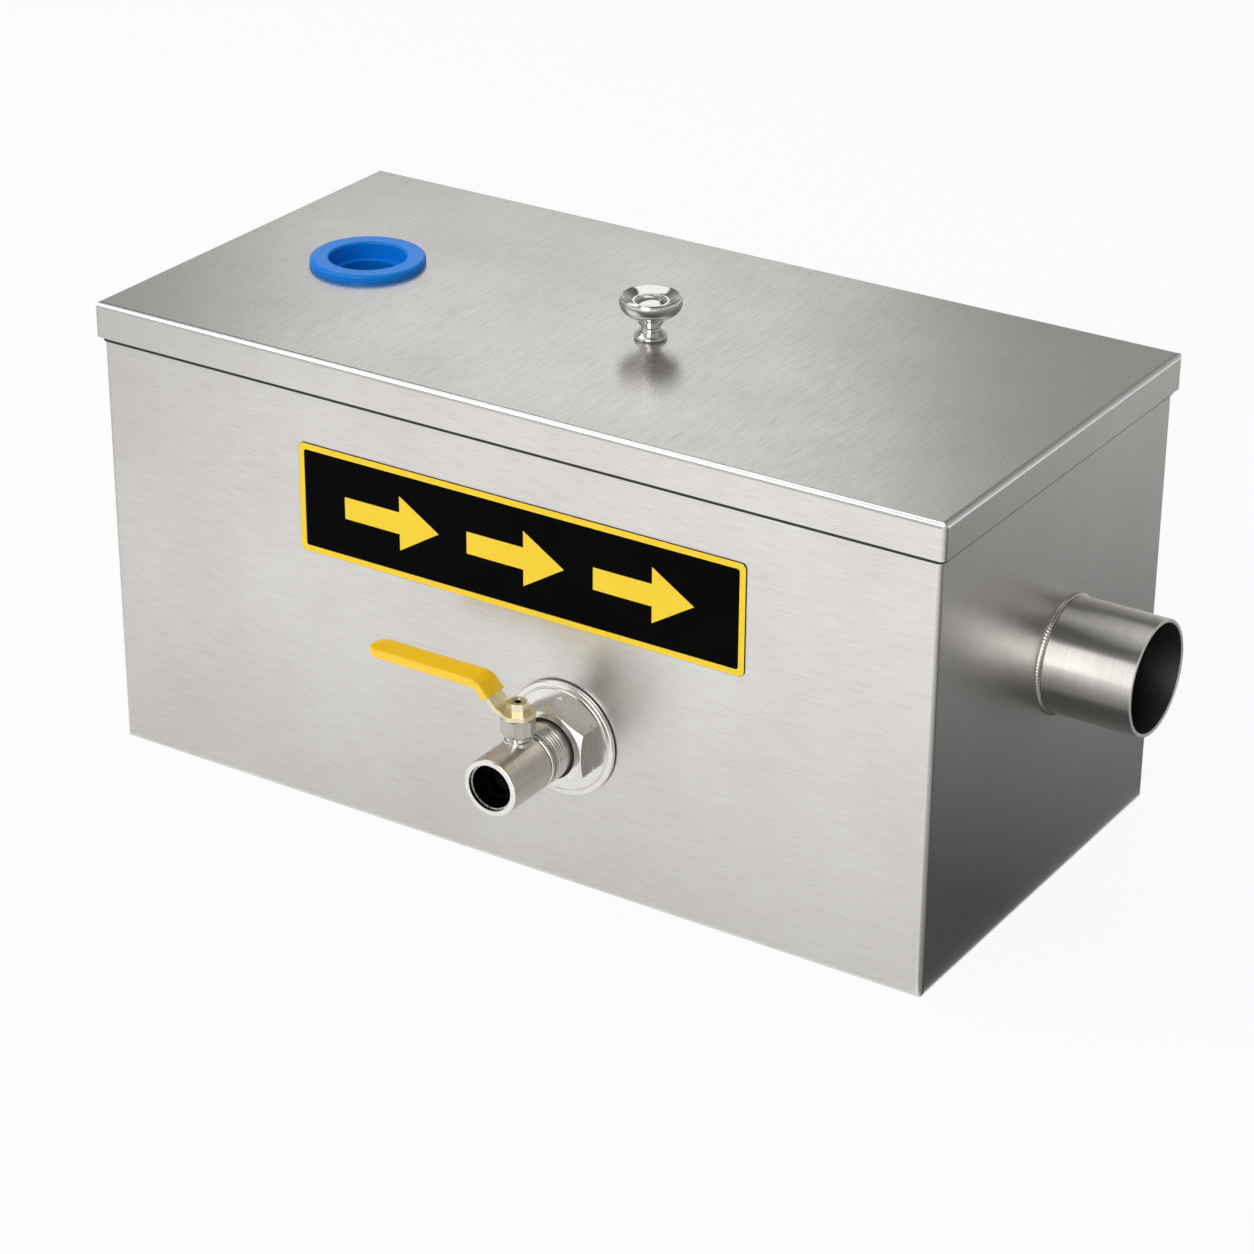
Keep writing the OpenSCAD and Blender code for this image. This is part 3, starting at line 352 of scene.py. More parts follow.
# Vinyl film, printed black: a flat, deep black with almost no shine.
BLACK_FILM = Polymer("printed_black_film", "#030303", "#070707", 0.4, 0.5, index=1.46, shine=0.02)
# Screen ink on the film: opaque yellow with a faint shine.
YELLOW_INK = Polymer("yellow_screen_ink", "#f4cd22", "#f9d638", 0.4, 0.5, index=1.46, shine=0.3)
# Fluoropolymer filled with carbon, turned from rod: a waxy dark grey.
FILLED_PTFE = Polymer("carbon_filled_ptfe", "#232322", "#2e2e2c", 0.42, 0.55, index=1.36)


def new_piece(name: str, points: Sequence[Point], faces: Sequence[Sequence[int]],
              finish: bpy.types.Material, body: str,
              smooth: bool = True) -> bpy.types.Object:
    """Makes one mesh piece, gives it its finish and lets it ride on a body.

    Args:
        name: The piece's name.
        points: Its corners in metres.
        faces: Corner numbers of each face.
        finish: Its material.
        body: The body it moves with.
        smooth: Whether its faces are shaded as one curved skin.

    Returns:
        The new object.
    """
    mesh = bpy.data.meshes.new(name)
    mesh.from_pydata([tuple(p) for p in points], [], [tuple(f) for f in faces])
    mesh.validate()
    if smooth:
        mesh.shade_smooth()
        mesh.set_sharp_from_angle(angle=math.radians(SHARP_DEG))
    mesh.materials.append(finish)
    piece = bpy.data.objects.new(name, mesh)
    bpy.context.scene.collection.objects.link(piece)
    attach(piece, body)
    LOG.info("piece %s: %d faces on %s", name, len(mesh.polygons), body)
    return piece


def dress(finish: bpy.types.Material, *names: str) -> None:
    """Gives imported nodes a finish.

    Args:
        finish: The material.
        names: The nodes.
    """
    for name in names:
        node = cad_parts[name]
        node.data.materials.clear()
        node.data.materials.append(finish)
        LOG.info("node %s: %s", name, finish.name)


def near_axis(axis: Vector, at: Vector, radius_mm: float, ends: bool = False) -> FaceTest:
    """Makes the test for a bore's faces.

    Args:
        axis: The bore's direction.
        at: A point on its axis.
        radius_mm: Faces closer to the axis than this pass.
        ends: Whether faces that look along the axis pass too.

    Returns:
        A test for one face.
    """
    def test(face: bpy.types.MeshPolygon) -> bool:
        """Tells whether a face lies in the bore.

        Args:
            face: The face.

        Returns:
            True if it does.
        """
        off = face.center - at
        off -= off.dot(axis) * axis
        return off.length < radius_mm * MM and (ends or abs(face.normal.dot(axis)) < FACING)
    return test


def round_axis(axis: Vector) -> FaceTest:
    """Makes the test for faces that stand round an axis.

    Args:
        axis: That direction.

    Returns:
        A test for one face.
    """
    return lambda face: abs(face.normal.dot(axis)) < STANDING


def looking(way: Vector, least: float, most: float = math.inf) -> FaceTest:
    """Makes the test for faces that look in a direction.

    Args:
        way: That direction.
        least: A face passes if its normal has more than this share of it,
        most: and less than this.

    Returns:
        A test for one face.
    """
    return lambda face: least < face.normal.dot(way) < most


def dress_faces(finish: bpy.types.Material, name: str, test: FaceTest) -> None:
    """Gives some of a node's faces a finish of their own.

    Args:
        finish: That finish.
        name: The node.
        test: Picks the faces.
    """
    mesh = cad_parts[name].data
    mesh.materials.append(finish)
    for face in mesh.polygons:
        if test(face):
            face.material_index = len(mesh.materials) - 1


def tube_faces(rows: int, count: int, closed: bool) -> list[list[int]]:
    """Gives the faces of a skin over rows of points.

    Args:
        rows: How many rows there are.
        count: How many points are in each closed row.
        closed: Whether the last row joins the first.

    Returns:
        Four corner numbers for each face.
    """
    last = rows if closed else rows - 1
    return [[i * count + j, i * count + (j + 1) % count,
             (i + 1) % rows * count + (j + 1) % count, (i + 1) % rows * count + j]
            for i in range(last) for j in range(count)]


def end_faces(rows: int, count: int) -> list[list[int]]:
    """Gives the two faces that close the ends of a skin over rows of points.

    Args:
        rows: How many rows there are.
        count: How many points are in each row.

    Returns:
        The corner numbers of the first and of the last row's face.
    """
    last = (rows - 1) * count
    return [list(range(count)), list(range(last + count - 1, last - 1, -1))]


def rounded_loop(half_w: float, half_h: float, radius: float, steps: int) -> Loop:
    """Gives a rounded rectangle as points, counter-clockwise.

    Args:
        half_w: Half its width.
        half_h: Half its height.
        radius: Its corner radius.
        steps: Steps in each corner.

    Returns:
        Its points in the plane.
    """
    points: Loop = []
    for turn, (sx, sy) in enumerate(((1, 1), (-1, 1), (-1, -1), (1, -1))):
        for i in range(steps + 1):
            a = math.pi / 2 * (turn + i / steps)
            points.append((sx * (half_w - radius) + radius * math.cos(a),
                           sy * (half_h - radius) + radius * math.sin(a)))
    return points


def middle(node: str) -> Vector:
    """Gives the middle of a node's box in metres."""
    low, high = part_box(node)
    return (low + high) / 2


@dataclass(frozen=True)
class Thread:
    """A helical ridge on a shank that lies along the local Z axis, with lengths in mm.

    The section is given in pitches along the shank and in heights of the ridge. The ridge rises to
    its full height over a part of a turn: that is one turn divided by rise.
    """

    root: float
    height: float
    pitch: float
    start: float
    end: float
    per_turn: int = 72
    rise: float = 3.0
    section: tuple[tuple[float, float], ...] = (
        (-0.48, -0.1), (-0.3, 0.25), (-0.1, 0.95), (0.0, 1.0), (0.1, 0.95), (0.3, 0.25),
        (0.48, -0.1))

    def build(self, name: str, to_world: Matrix, finish: bpy.types.Material, body: str,
              slot: str) -> bpy.types.Object:
        """Winds the ridge round the shank.

        Args:
            name: The piece's name.
            to_world: Turns local points into the model's frame.
            finish: Its material.
            body: The body it moves with.
            slot: Not used.

        Returns:
            The thread.
        """
        steps = int(self.per_turn * (self.end - self.start - self.pitch) / self.pitch)
        points = []
        for i in range(steps + 1):
            a = 2 * math.pi * i / self.per_turn
            run_out = min(1.0, self.rise * min(i, steps - i) / self.per_turn)
            z = self.start + self.pitch / 2 + self.pitch * i / self.per_turn
            for along, up in self.section:
                r = self.root + self.height * (up if up < 0 else up * run_out)
                local = Vector((r * math.cos(a), r * math.sin(a), z + along * self.pitch))
                points.append(to_world @ (local * MM))
        count = len(self.section)
        faces = tube_faces(steps + 1, count, False) + end_faces(steps + 1, count)
        return new_piece(name, points, faces, finish, body)


@dataclass
class Shell:
    """Tank, rim seal and lid: the folded sheet that makes the box.

    fold_lean is how much the faces of the lid's folds look up; they get a painted highlight.
    """

    apron_mm: float = 1.1
    apron_taper_mm: float = 0.3
    apron_show_mm: float = 2.6
    apron_gap_mm: float = 0.05
    corner_mm: float = 3.0
    corner_steps: int = 6
    fold_lean: tuple[float, float] = (0.2, 0.97)

    def build(self, rubber: bpy.types.Material) -> None:
        """Lets black rubber hang below the lid's skirt: painted shade, the dark line that parts lid
        and tank.

        Args:
            rubber: The seal's finish.
        """
        wall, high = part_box("tank")[1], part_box("rim_seal")[0].z
        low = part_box("lid")[0].z - self.apron_show_mm * MM
        profile = ((self.apron_gap_mm, high), (self.apron_gap_mm, low),
                   (self.apron_mm - self.apron_taper_mm, low),
                   (self.apron_mm, low + self.apron_taper_mm * MM), (self.apron_mm, high))
        points = []
        for out, z in profile:
            loop = rounded_loop(wall.x + out * MM, wall.y + out * MM, (self.corner_mm + out) * MM,
                                self.corner_steps)
            points += [(x, y, z) for x, y in loop]
        faces = tube_faces(len(profile), len(points) // len(profile), True)
        # The apron is a dark strip standing in for the shadow under the lid's skirt: painted shade.
        new_piece("shadow_line_apron", points, faces, rubber, "tank")

    def dress(self) -> None:
        """Gives the sheets their grain and the seals their rubber, and builds the apron of painted
        shade.
        """
        dress(BRUSHED_STAINLESS.material(), "tank")
        dress(FINE_STAINLESS.material(), "lid")
        # The lid's folds get a lighter copy of the sheet: a painted highlight.
        dress_faces(FOLDED_STAINLESS.material(), "lid", looking(UP, *self.fold_lean))
        rubber = BLACK_RUBBER.material()
        dress(rubber, "rim_seal", "outer_gasket", "inner_gasket", "nut_o_ring")
        self.build(rubber)


@dataclass
class LidFittings:
    """Inlet grommet and knob on the lid."""

    screw_root_mm: float = 2.42
    screw_crest_mm: float = 0.3
    screw_pitch_mm: float = 0.8
    screw_start_mm: float = 0.2

    def build(self, steel: bpy.types.Material) -> None:
        """Cuts the thread on the end of the knob's screw.

        Args:
            steel: The screw's finish.
        """
        low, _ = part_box("knob_screw")
        nut_low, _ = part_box("knob_nut")
        at = middle("knob_screw")
        reach = (nut_low.z - low.z) / MM
        thread = Thread(self.screw_root_mm, self.screw_crest_mm, self.screw_pitch_mm,
                        self.screw_start_mm, reach + self.screw_pitch_mm)
        thread.build("knob_screw_thread", Matrix.Translation((at.x, at.y, low.z)), steel, "lid",
                     "polished_steel")

    def dress(self) -> None:
        """Gives the fittings their rubber and polish, and builds the thread."""
        steel = POLISHED_STEEL.material()
        dress(BLUE_RUBBER.material(), "inlet_grommet")
        dress(steel, "lid_knob", "knob_screw")
        self.build(steel)


@dataclass
class Outlet:
    """Outlet pipe, its weld and the dip elbow.

    The bead's leg sways round the pipe. Each sway has a size, as a share of the leg, a number of
    waves and a start. margin keeps the bead inside its leg. rim_lean parts the sawn end.
    """

    leg_mm: float = 2.3
    ripple_mm: float = 1.7
    ripple_depth: float = 0.16
    ripple_lean: float = 0.35
    per_ripple: int = 6
    arc_steps: int = 8
    margin: float = 0.07
    sways: tuple[tuple[float, int, float], ...] = ((0.04, 3, 0.6), (0.03, 7, 0.0))
    bore_mm: float = 28.3
    rim_lean: float = 0.4

    def build(self) -> None:
        """Lays the weld bead as a row of overlapping ripples round the pipe."""
        low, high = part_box("outlet_weld")
        at = middle("outlet_weld")
        root = (high.z - low.z) / 2 / MM - self.leg_mm
        ripples = round(2 * math.pi * root / self.ripple_mm)
        rows, arc = ripples * self.per_ripple, self.arc_steps
        points = []
        for i in range(rows):
            a = 2 * math.pi * i / rows
            sway = sum(size * math.sin(waves * a + start) for size, waves, start in self.sways)
            for j in range(arc + 1):
                b = math.pi / 2 * j / arc
                crest = (i / self.per_ripple - self.ripple_lean * math.sin(2 * b)) % 1.0
                leg = self.leg_mm * (1 - self.ripple_depth * crest ** 2 + sway - self.margin)
                points.append(self.place(at, low.x, root + leg * math.cos(b), leg * math.sin(b), a))
            points.append(self.place(at, low.x, root, 0.0, a))
        faces = tube_faces(rows, arc + 2, True)
        bead = new_piece("weld_bead", points, faces, WELD_METAL.material(), "tank")
        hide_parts("outlet_weld")

    @staticmethod
    def place(at: Vector, wall: float, radius: float, out: float, angle: float) -> Point:
        """Gives a point round the pipe.

        Args:
            at: A point on the pipe's axis.
            wall: The wall's outside along X in metres.
            radius: Distance from the axis in mm.
            out: Distance from the wall in mm.
            angle: Turn round the axis.

        Returns:
            The point in metres.
        """
        return (wall + out * MM, at.y + radius * MM * math.cos(angle),
                at.z + radius * MM * math.sin(angle))

    def dress(self) -> None:
        """Gives pipe and elbow their finish: outside, inside darker as painted shade, and on the
        sawn end.
        """
        dress(BUFFED_STAINLESS.material(), "outlet_pipe", "dip_elbow")
        # The bore is dull and painted darker than the outside: painted shade.
        dress_faces(PICKLED_STAINLESS.material(), "outlet_pipe",
                    near_axis(ALONG, middle("outlet_weld"), self.bore_mm))
        dress_faces(SAWN_STAINLESS.material(), "outlet_pipe", looking(ALONG, self.rim_lean))


@dataclass
class DrainValve:
    """Valve body, the nuts that hold it in the wall, and its seals.

    Threads are measured outward from the wall. bore_mm and way_mm are the radii that part the steps
    of the mouth from the way behind them, painted dark as shade, and mouth_lean parts the mouth's
    end.
    """

    shank_mm: float = 14.85
    pitch_mm: float = 1.9
    crest_mm: float = 0.65
    outside_mm: tuple[float, float] = (17.2, 28.5)
    inside_mm: tuple[float, float] = (-13.4, -9.6)
    bore_mm: float = 12.4
    way_mm: float = 11.38
    centre_mm: float = 1.75
    mouth_lean: float = 0.6

    def build(self, plate: bpy.types.Material) -> None:
        """Cuts the shank's thread outside and inside the wall.

        Args:
            plate: The valve's finish.
        """
        axis = middle("outer_gasket")
        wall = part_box("outer_gasket")[1].y
        to_world = Matrix.Translation((axis.x, wall, axis.z)) @ Matrix.Rotation(math.pi / 2, 4, "X")
        for name, (start, end) in (("shank_thread_outside", self.outside_mm),
                                   ("shank_thread_inside", self.inside_mm)):
            thread = Thread(self.shank_mm, self.crest_mm, self.pitch_mm, start, end)
            thread.build(name, to_world, plate, "tank", "valve_nickel")

    def dress(self) -> None:
        """Gives the valve its plating and its seats their polymer, and builds the threads."""
        plate = NICKEL_PLATE.material()
        dark = BLACKENED_STEEL.material()
        bright = BRIGHT_NICKEL.material()
        dress(plate, "valve_body", "gland_nut", "valve_stem")
        # Flange and nuts get a lighter copy of the plating: painted highlight.
        dress(bright, "flange_washer", "bulkhead_nut", "inner_lock_nut")
        # Ball and retainer, deep in the valve: near-black, painted shade.
        dress(dark, "valve_ball", "seat_retainer")
        axis = middle("outer_gasket")
        # The mouth's end gets the lighter copy too: painted highlight.
        dress_faces(bright, "valve_body", looking(-ACROSS, self.mouth_lean))
        # The mouth's steps get a paler copy of the plating: painted highlight.
        dress_faces(TURNED_NICKEL.material(), "valve_body",
                    near_axis(ACROSS, axis, self.bore_mm, ends=True))
        # The bore behind the mouth and the stem's hole: near-black, painted shade.
        dress_faces(dark, "valve_body", near_axis(ACROSS, axis, self.bore_mm))
        dress_faces(dark, "valve_body", near_axis(ACROSS, axis, self.way_mm, ends=True))
        dress_faces(dark, "valve_stem",
                    near_axis(UP, middle("valve_stem"), self.centre_mm, ends=True))
        # The nut's flats get a darker copy of the plating: painted shade.
        dress_faces(DULL_NICKEL.material(), "bulkhead_nut", round_axis(ACROSS))
        dress(FILLED_PTFE.material(), "seat_inner", "seat_outer", "stem_packing")
        self.build(plate)


@dataclass
class Lever:
    """Strap and dipped sleeve of the valve's lever.

    rim says how the skin grows from the strap's size, at 0, to the sleeve's, at 1, over the first
    step of the middle line. The tip thins to tip_share of the sleeve's thickness.
    """

    eye_mm: float = 29.3
    strap_mm: tuple[float, float] = (11.5, 2.5)
    run_mm: float = 5.533
    bend_mm: float = 8.0
    slope_deg: float = 48.0
    rise_mm: float = 12.7
    length_mm: float = 87.5
    sleeve_mm: tuple[float, float] = (16.0, 4.8)
    start_share: float = 0.45
    gap_mm: float = 0.1
    mouth_corner_mm: float = 0.3
    mouth_steps: int = 4
    rim: tuple[tuple[float, float], ...] = ((0.0, 0.45), (0.12, 0.8), (0.4, 0.96), (1.0, 1.03))
    rim_round_mm: float = 1.5
    edge_share: float = 0.8
    tip_share: float = 0.6
    tip_round: float = 0.9
    slope_steps: int = 9
    bend_steps: int = 16
    grip_steps: int = 24
    tip_steps: int = 15
    corner_steps: int = 8

    def path(self) -> list[tuple[float, float, float]]:
        """Gives the middle line of the sleeve from its open end to its tip.

        Returns:
            Reach, height and slope at each step.
        """
        slope, r = math.radians(self.slope_deg), self.bend_mm
        base = self.eye_mm + self.strap_mm[1] / 2
        length = (self.rise_mm - 2 * r * (1 - math.cos(slope))) / math.sin(slope)
        from_x, from_z = self.run_mm + r * math.sin(slope), base + r * (1 - math.cos(slope))
        to_x, to_z = from_x + length * math.cos(slope), from_z + length * math.sin(slope)
        line = []
        for i in range(self.slope_steps):
            t = self.start_share + (1 - self.start_share) * i / self.slope_steps
            line.append((from_x + (to_x - from_x) * t, from_z + (to_z - from_z) * t, slope))
        for i in range(self.bend_steps + 1):
            a = slope * (1 - i / self.bend_steps)
            line.append((to_x + r * (math.sin(slope) - math.sin(a)),
                         to_z + r * (math.cos(a) - math.cos(slope)), a))
        grip_x, grip_z = line[-1][0], line[-1][1]
        reach = self.length_mm - self.sleeve_mm[0] / 2
        line += [(grip_x + (reach - grip_x) * i / self.grip_steps, grip_z, 0.0)
                 for i in range(1, self.grip_steps + 1)]
        return line

    def ring(self, at: tuple[float, float, float], half_w: float, half_h: float,
             corner: float) -> Loop:
        """Gives one section of the sleeve.

        Args:
            at: Reach, height and slope of the middle line.
            half_w: Half its width in mm.
            half_h: Half its thickness in mm.
            corner: Its corner radius in mm.

        Returns:
            Its points in the model's frame, in metres.
        """
        stem = middle("valve_stem")
        stem_z = middle("outer_gasket").z
        reach, height, slope = at
        return [(stem.x - (reach - math.sin(slope) * v) * MM, stem.y + u * MM,
                 stem_z + (height + math.cos(slope) * v) * MM)
                for u, v in rounded_loop(half_w, half_h, corner, self.corner_steps)]

    def build(self) -> None:
        """Dips the sleeve: a soft rim at its open end, an even skin, and a round tip."""
        line = self.path()
        half_w, half_t = self.sleeve_mm[0] / 2, self.sleeve_mm[1] / 2
        strap_w, strap_t = self.strap_mm[0] / 2 + self.gap_mm, self.strap_mm[1] / 2 + self.gap_mm
        rows: list[Loop] = [self.ring(line[i], strap_w, strap_t, self.mouth_corner_mm)
                            for i in (self.mouth_steps, 0)]
        for share, grow in self.rim:
            at = tuple(a + (b - a) * share for a, b in zip(line[0], line[1]))
            rows.append(self.ring(at, strap_w + (half_w - strap_w) * grow,
                                  strap_t + (half_t - strap_t) * grow,
                                  self.mouth_corner_mm + self.rim_round_mm * grow))
        rows += [self.ring(at, half_w, half_t, half_t * self.edge_share) for at in line[2:]]
        tip_x, tip_z, _ = line[-1]
        for i in range(1, self.tip_steps):
            a = math.pi / 2 * i / self.tip_steps
            thick = half_t * (self.tip_share + (1 - self.tip_share) * math.cos(a) ** 0.5)
            wide = max(half_w * math.cos(a), thick * self.tip_round)
            rows.append(self.ring((tip_x + half_w * math.sin(a), tip_z, 0.0), wide, thick,
                                  min(wide, thick) * self.edge_share))
        count = len(rows[0])
        faces = tube_faces(len(rows), count, False) + end_faces(len(rows), count)
        sleeve = new_piece("dipped_sleeve", [p for row in rows for p in row], faces,
                           DIPPED_VINYL.material(), "lever")
        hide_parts("lever_sleeve")

    def dress(self) -> None:
        """Gives strap and stem nut their plating."""
        dress(PASSIVATED_STEEL.material(), "lever_arm")
        # The stem nut gets a paler copy of the plating: painted highlight.
        dress(PALE_PASSIVATED.material(), "stem_nut")


@dataclass
class Label:
    """Printed film on the front wall, with its border and arrows in the direction of flow."""

    ink_mm: float = 0.04
    margin_mm: float = 0.1
    border_mm: float = 3.4
    corner_mm: float = 3.0
    inner_corner: float = 0.5
    corner_steps: int = 6
    arrows: int = 3
    arrow_mm: tuple[float, float] = (58.0, 30.0)
    shaft_mm: float = 12.0
    head_mm: float = 24.0
    gap_mm: float = 17.0

    def build(self) -> None:
        """Prints the border and the arrows."""
        low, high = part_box("label_plate")
        ink = YELLOW_INK.material()
        half_w, half_h = (high.x - low.x) / 2 / MM, (high.z - low.z) / 2 / MM
        outer = rounded_loop(half_w - self.margin_mm, half_h - self.margin_mm, self.corner_mm,
                             self.corner_steps)
        inner = rounded_loop(half_w - self.border_mm, half_h - self.border_mm,
                             self.corner_mm * self.inner_corner, self.corner_steps)
        rows = [self.layer(outer, 0.0), self.layer(outer, self.ink_mm),
                self.layer(inner, self.ink_mm), self.layer(inner, 0.0)]
        new_piece("label_border", [p for row in rows for p in row],
                  tube_faces(len(rows), len(outer), True), ink, "tank", smooth=False)
        length, height = self.arrow_mm
        step = length + self.gap_mm
        for n in range(self.arrows):
            x = (n - (self.arrows - 1) / 2) * step - length / 2
            neck = length - self.head_mm
            shape = [(x, -self.shaft_mm / 2), (x + neck, -self.shaft_mm / 2),
                     (x + neck, -height / 2), (x + length, 0.0), (x + neck, height / 2),
                     (x + neck, self.shaft_mm / 2), (x, self.shaft_mm / 2)]
            rows = [self.layer(shape, 0.0), self.layer(shape, self.ink_mm)]
            count = len(shape)
            faces = tube_faces(2, count, False) + [list(range(count, 2 * count))]
            new_piece(f"flow_arrow_{n + 1}", [p for row in rows for p in row], faces, ink, "tank",
                      smooth=False)

    @staticmethod
    def layer(shape: Loop, up: float) -> Loop:
        """Lays a shape on the film.

        Args:
            shape: Its points in mm from the label's middle.
            up: Height over the film in mm.

        Returns:
            The points in the model's frame, in metres.
        """
        at = middle("label_plate")
        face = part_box("label_plate")[0].y
        return [(at.x + u * MM, face - up * MM, at.z + v * MM) for u, v in shape]

    def dress(self) -> None:
        """Gives the film its black."""
        dress(BLACK_FILM.material(), "label_plate")


@dataclass
class Inside:
    """Baffles, guides, rails and basket inside the tank, and what holds the knob under the lid."""

    def dress(self) -> None:
        """Gives the plates and wires inside the dull rolled finish."""
        dress(ROLLED_STAINLESS.material(),
              "guide_front_inlet", "guide_rear_inlet", "guide_front_outlet", "guide_rear_outlet",
              "inlet_baffle", "outlet_baffle", "rail_front", "rail_rear",
              "basket_frame", "basket_screen", "basket_handle_front", "basket_handle_rear",
              "knob_washer", "knob_nut")


@dataclass(frozen=True)
class Fade:
    """A change of brightness along an axis: where it starts and ends, and how bright it is."""

    axis: str
    span: tuple[float, float]
    level: tuple[float, float]

    def inputs(self, value: bpy.types.NodeSocket) -> dict[str, Any]:
        """Gives the inputs of the node that maps a place along the axis to its brightness.

        Args:
            value: The place along the axis.

        Returns:
            The inputs by name.
        """
        return {"Value": value, "From Min": self.span[0], "From Max": self.span[1],
                "To Min": self.level[0], "To Max": self.level[1]}


@dataclass(frozen=True)
class SoftBox:
    """A lamp with an even face: its place and aim in metres, its width and height, its level.

    A level of 1 is white. A box can spare one node, which then gets no light from it.
    """

    name: str
    at: Point
    aim: Point
    size: tuple[float, float]
    level: float
    spares: str = ""

    def hang(self) -> None:
        """Hangs the box."""
        data = bpy.data.lights.new(self.name, "AREA")
        data.shape = "RECTANGLE"
        data.size, data.size_y = self.size
        data.energy = self.level * math.pi * self.size[0] * self.size[1]
        box = bpy.data.objects.new(self.name, data)
        box.location = self.at
        ray = Vector(self.aim) - Vector(self.at)
        box.rotation_euler = ray.to_track_quat("-Z", "Y").to_euler()
        bpy.context.scene.collection.objects.link(box)
        if self.spares:
            self.flag(box)

    def flag(self, box: bpy.types.Object) -> None:
        """Keeps the light off the spared node, as a black flag on a stand does.

        Args:
            box: The lamp.
        """
        shaded = bpy.data.collections.new(f"{self.name}_flag")
        shaded.objects.link(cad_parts[self.spares])
        shaded.collection_objects[0].light_linking.link_state = "EXCLUDE"
        box.light_linking.receiver_collection = shaded


# One box for the lid, a key from the left front, a fill in front and two boxes overhead. The lid
# mirrors what hangs in front and would turn white from behind, so the strong boxes there spare it.
KEY_BOX = SoftBox("key_box", (-1.5, -1.35, 2.0), (0.0, 0.0, 0.1), (2.0, 1.6), 1.3)
SOFT_BOXES = (
    SoftBox("lid_box", (-1.25, 1.85, 1.48), (0.0, 0.0, 0.25), (0.78, 0.9), 0.79),
    KEY_BOX,
    replace(KEY_BOX, name="wall_box", level=3.0, spares="lid"),
    SoftBox("fill_box", (0.7, -3.0, 1.3), (0.2, 0.0, 0.15), (1.7, 2.6), 3.2, "lid"),
    SoftBox("top_box", (-0.35, 0.35, 2.7), (0.0, 0.0, 0.2), (2.6, 2.3), 1.1),
    SoftBox("outlet_box", (1.0, 0.35, 1.45), (0.25, 0.0, 0.2), (1.1, 0.6), 0.15),
)


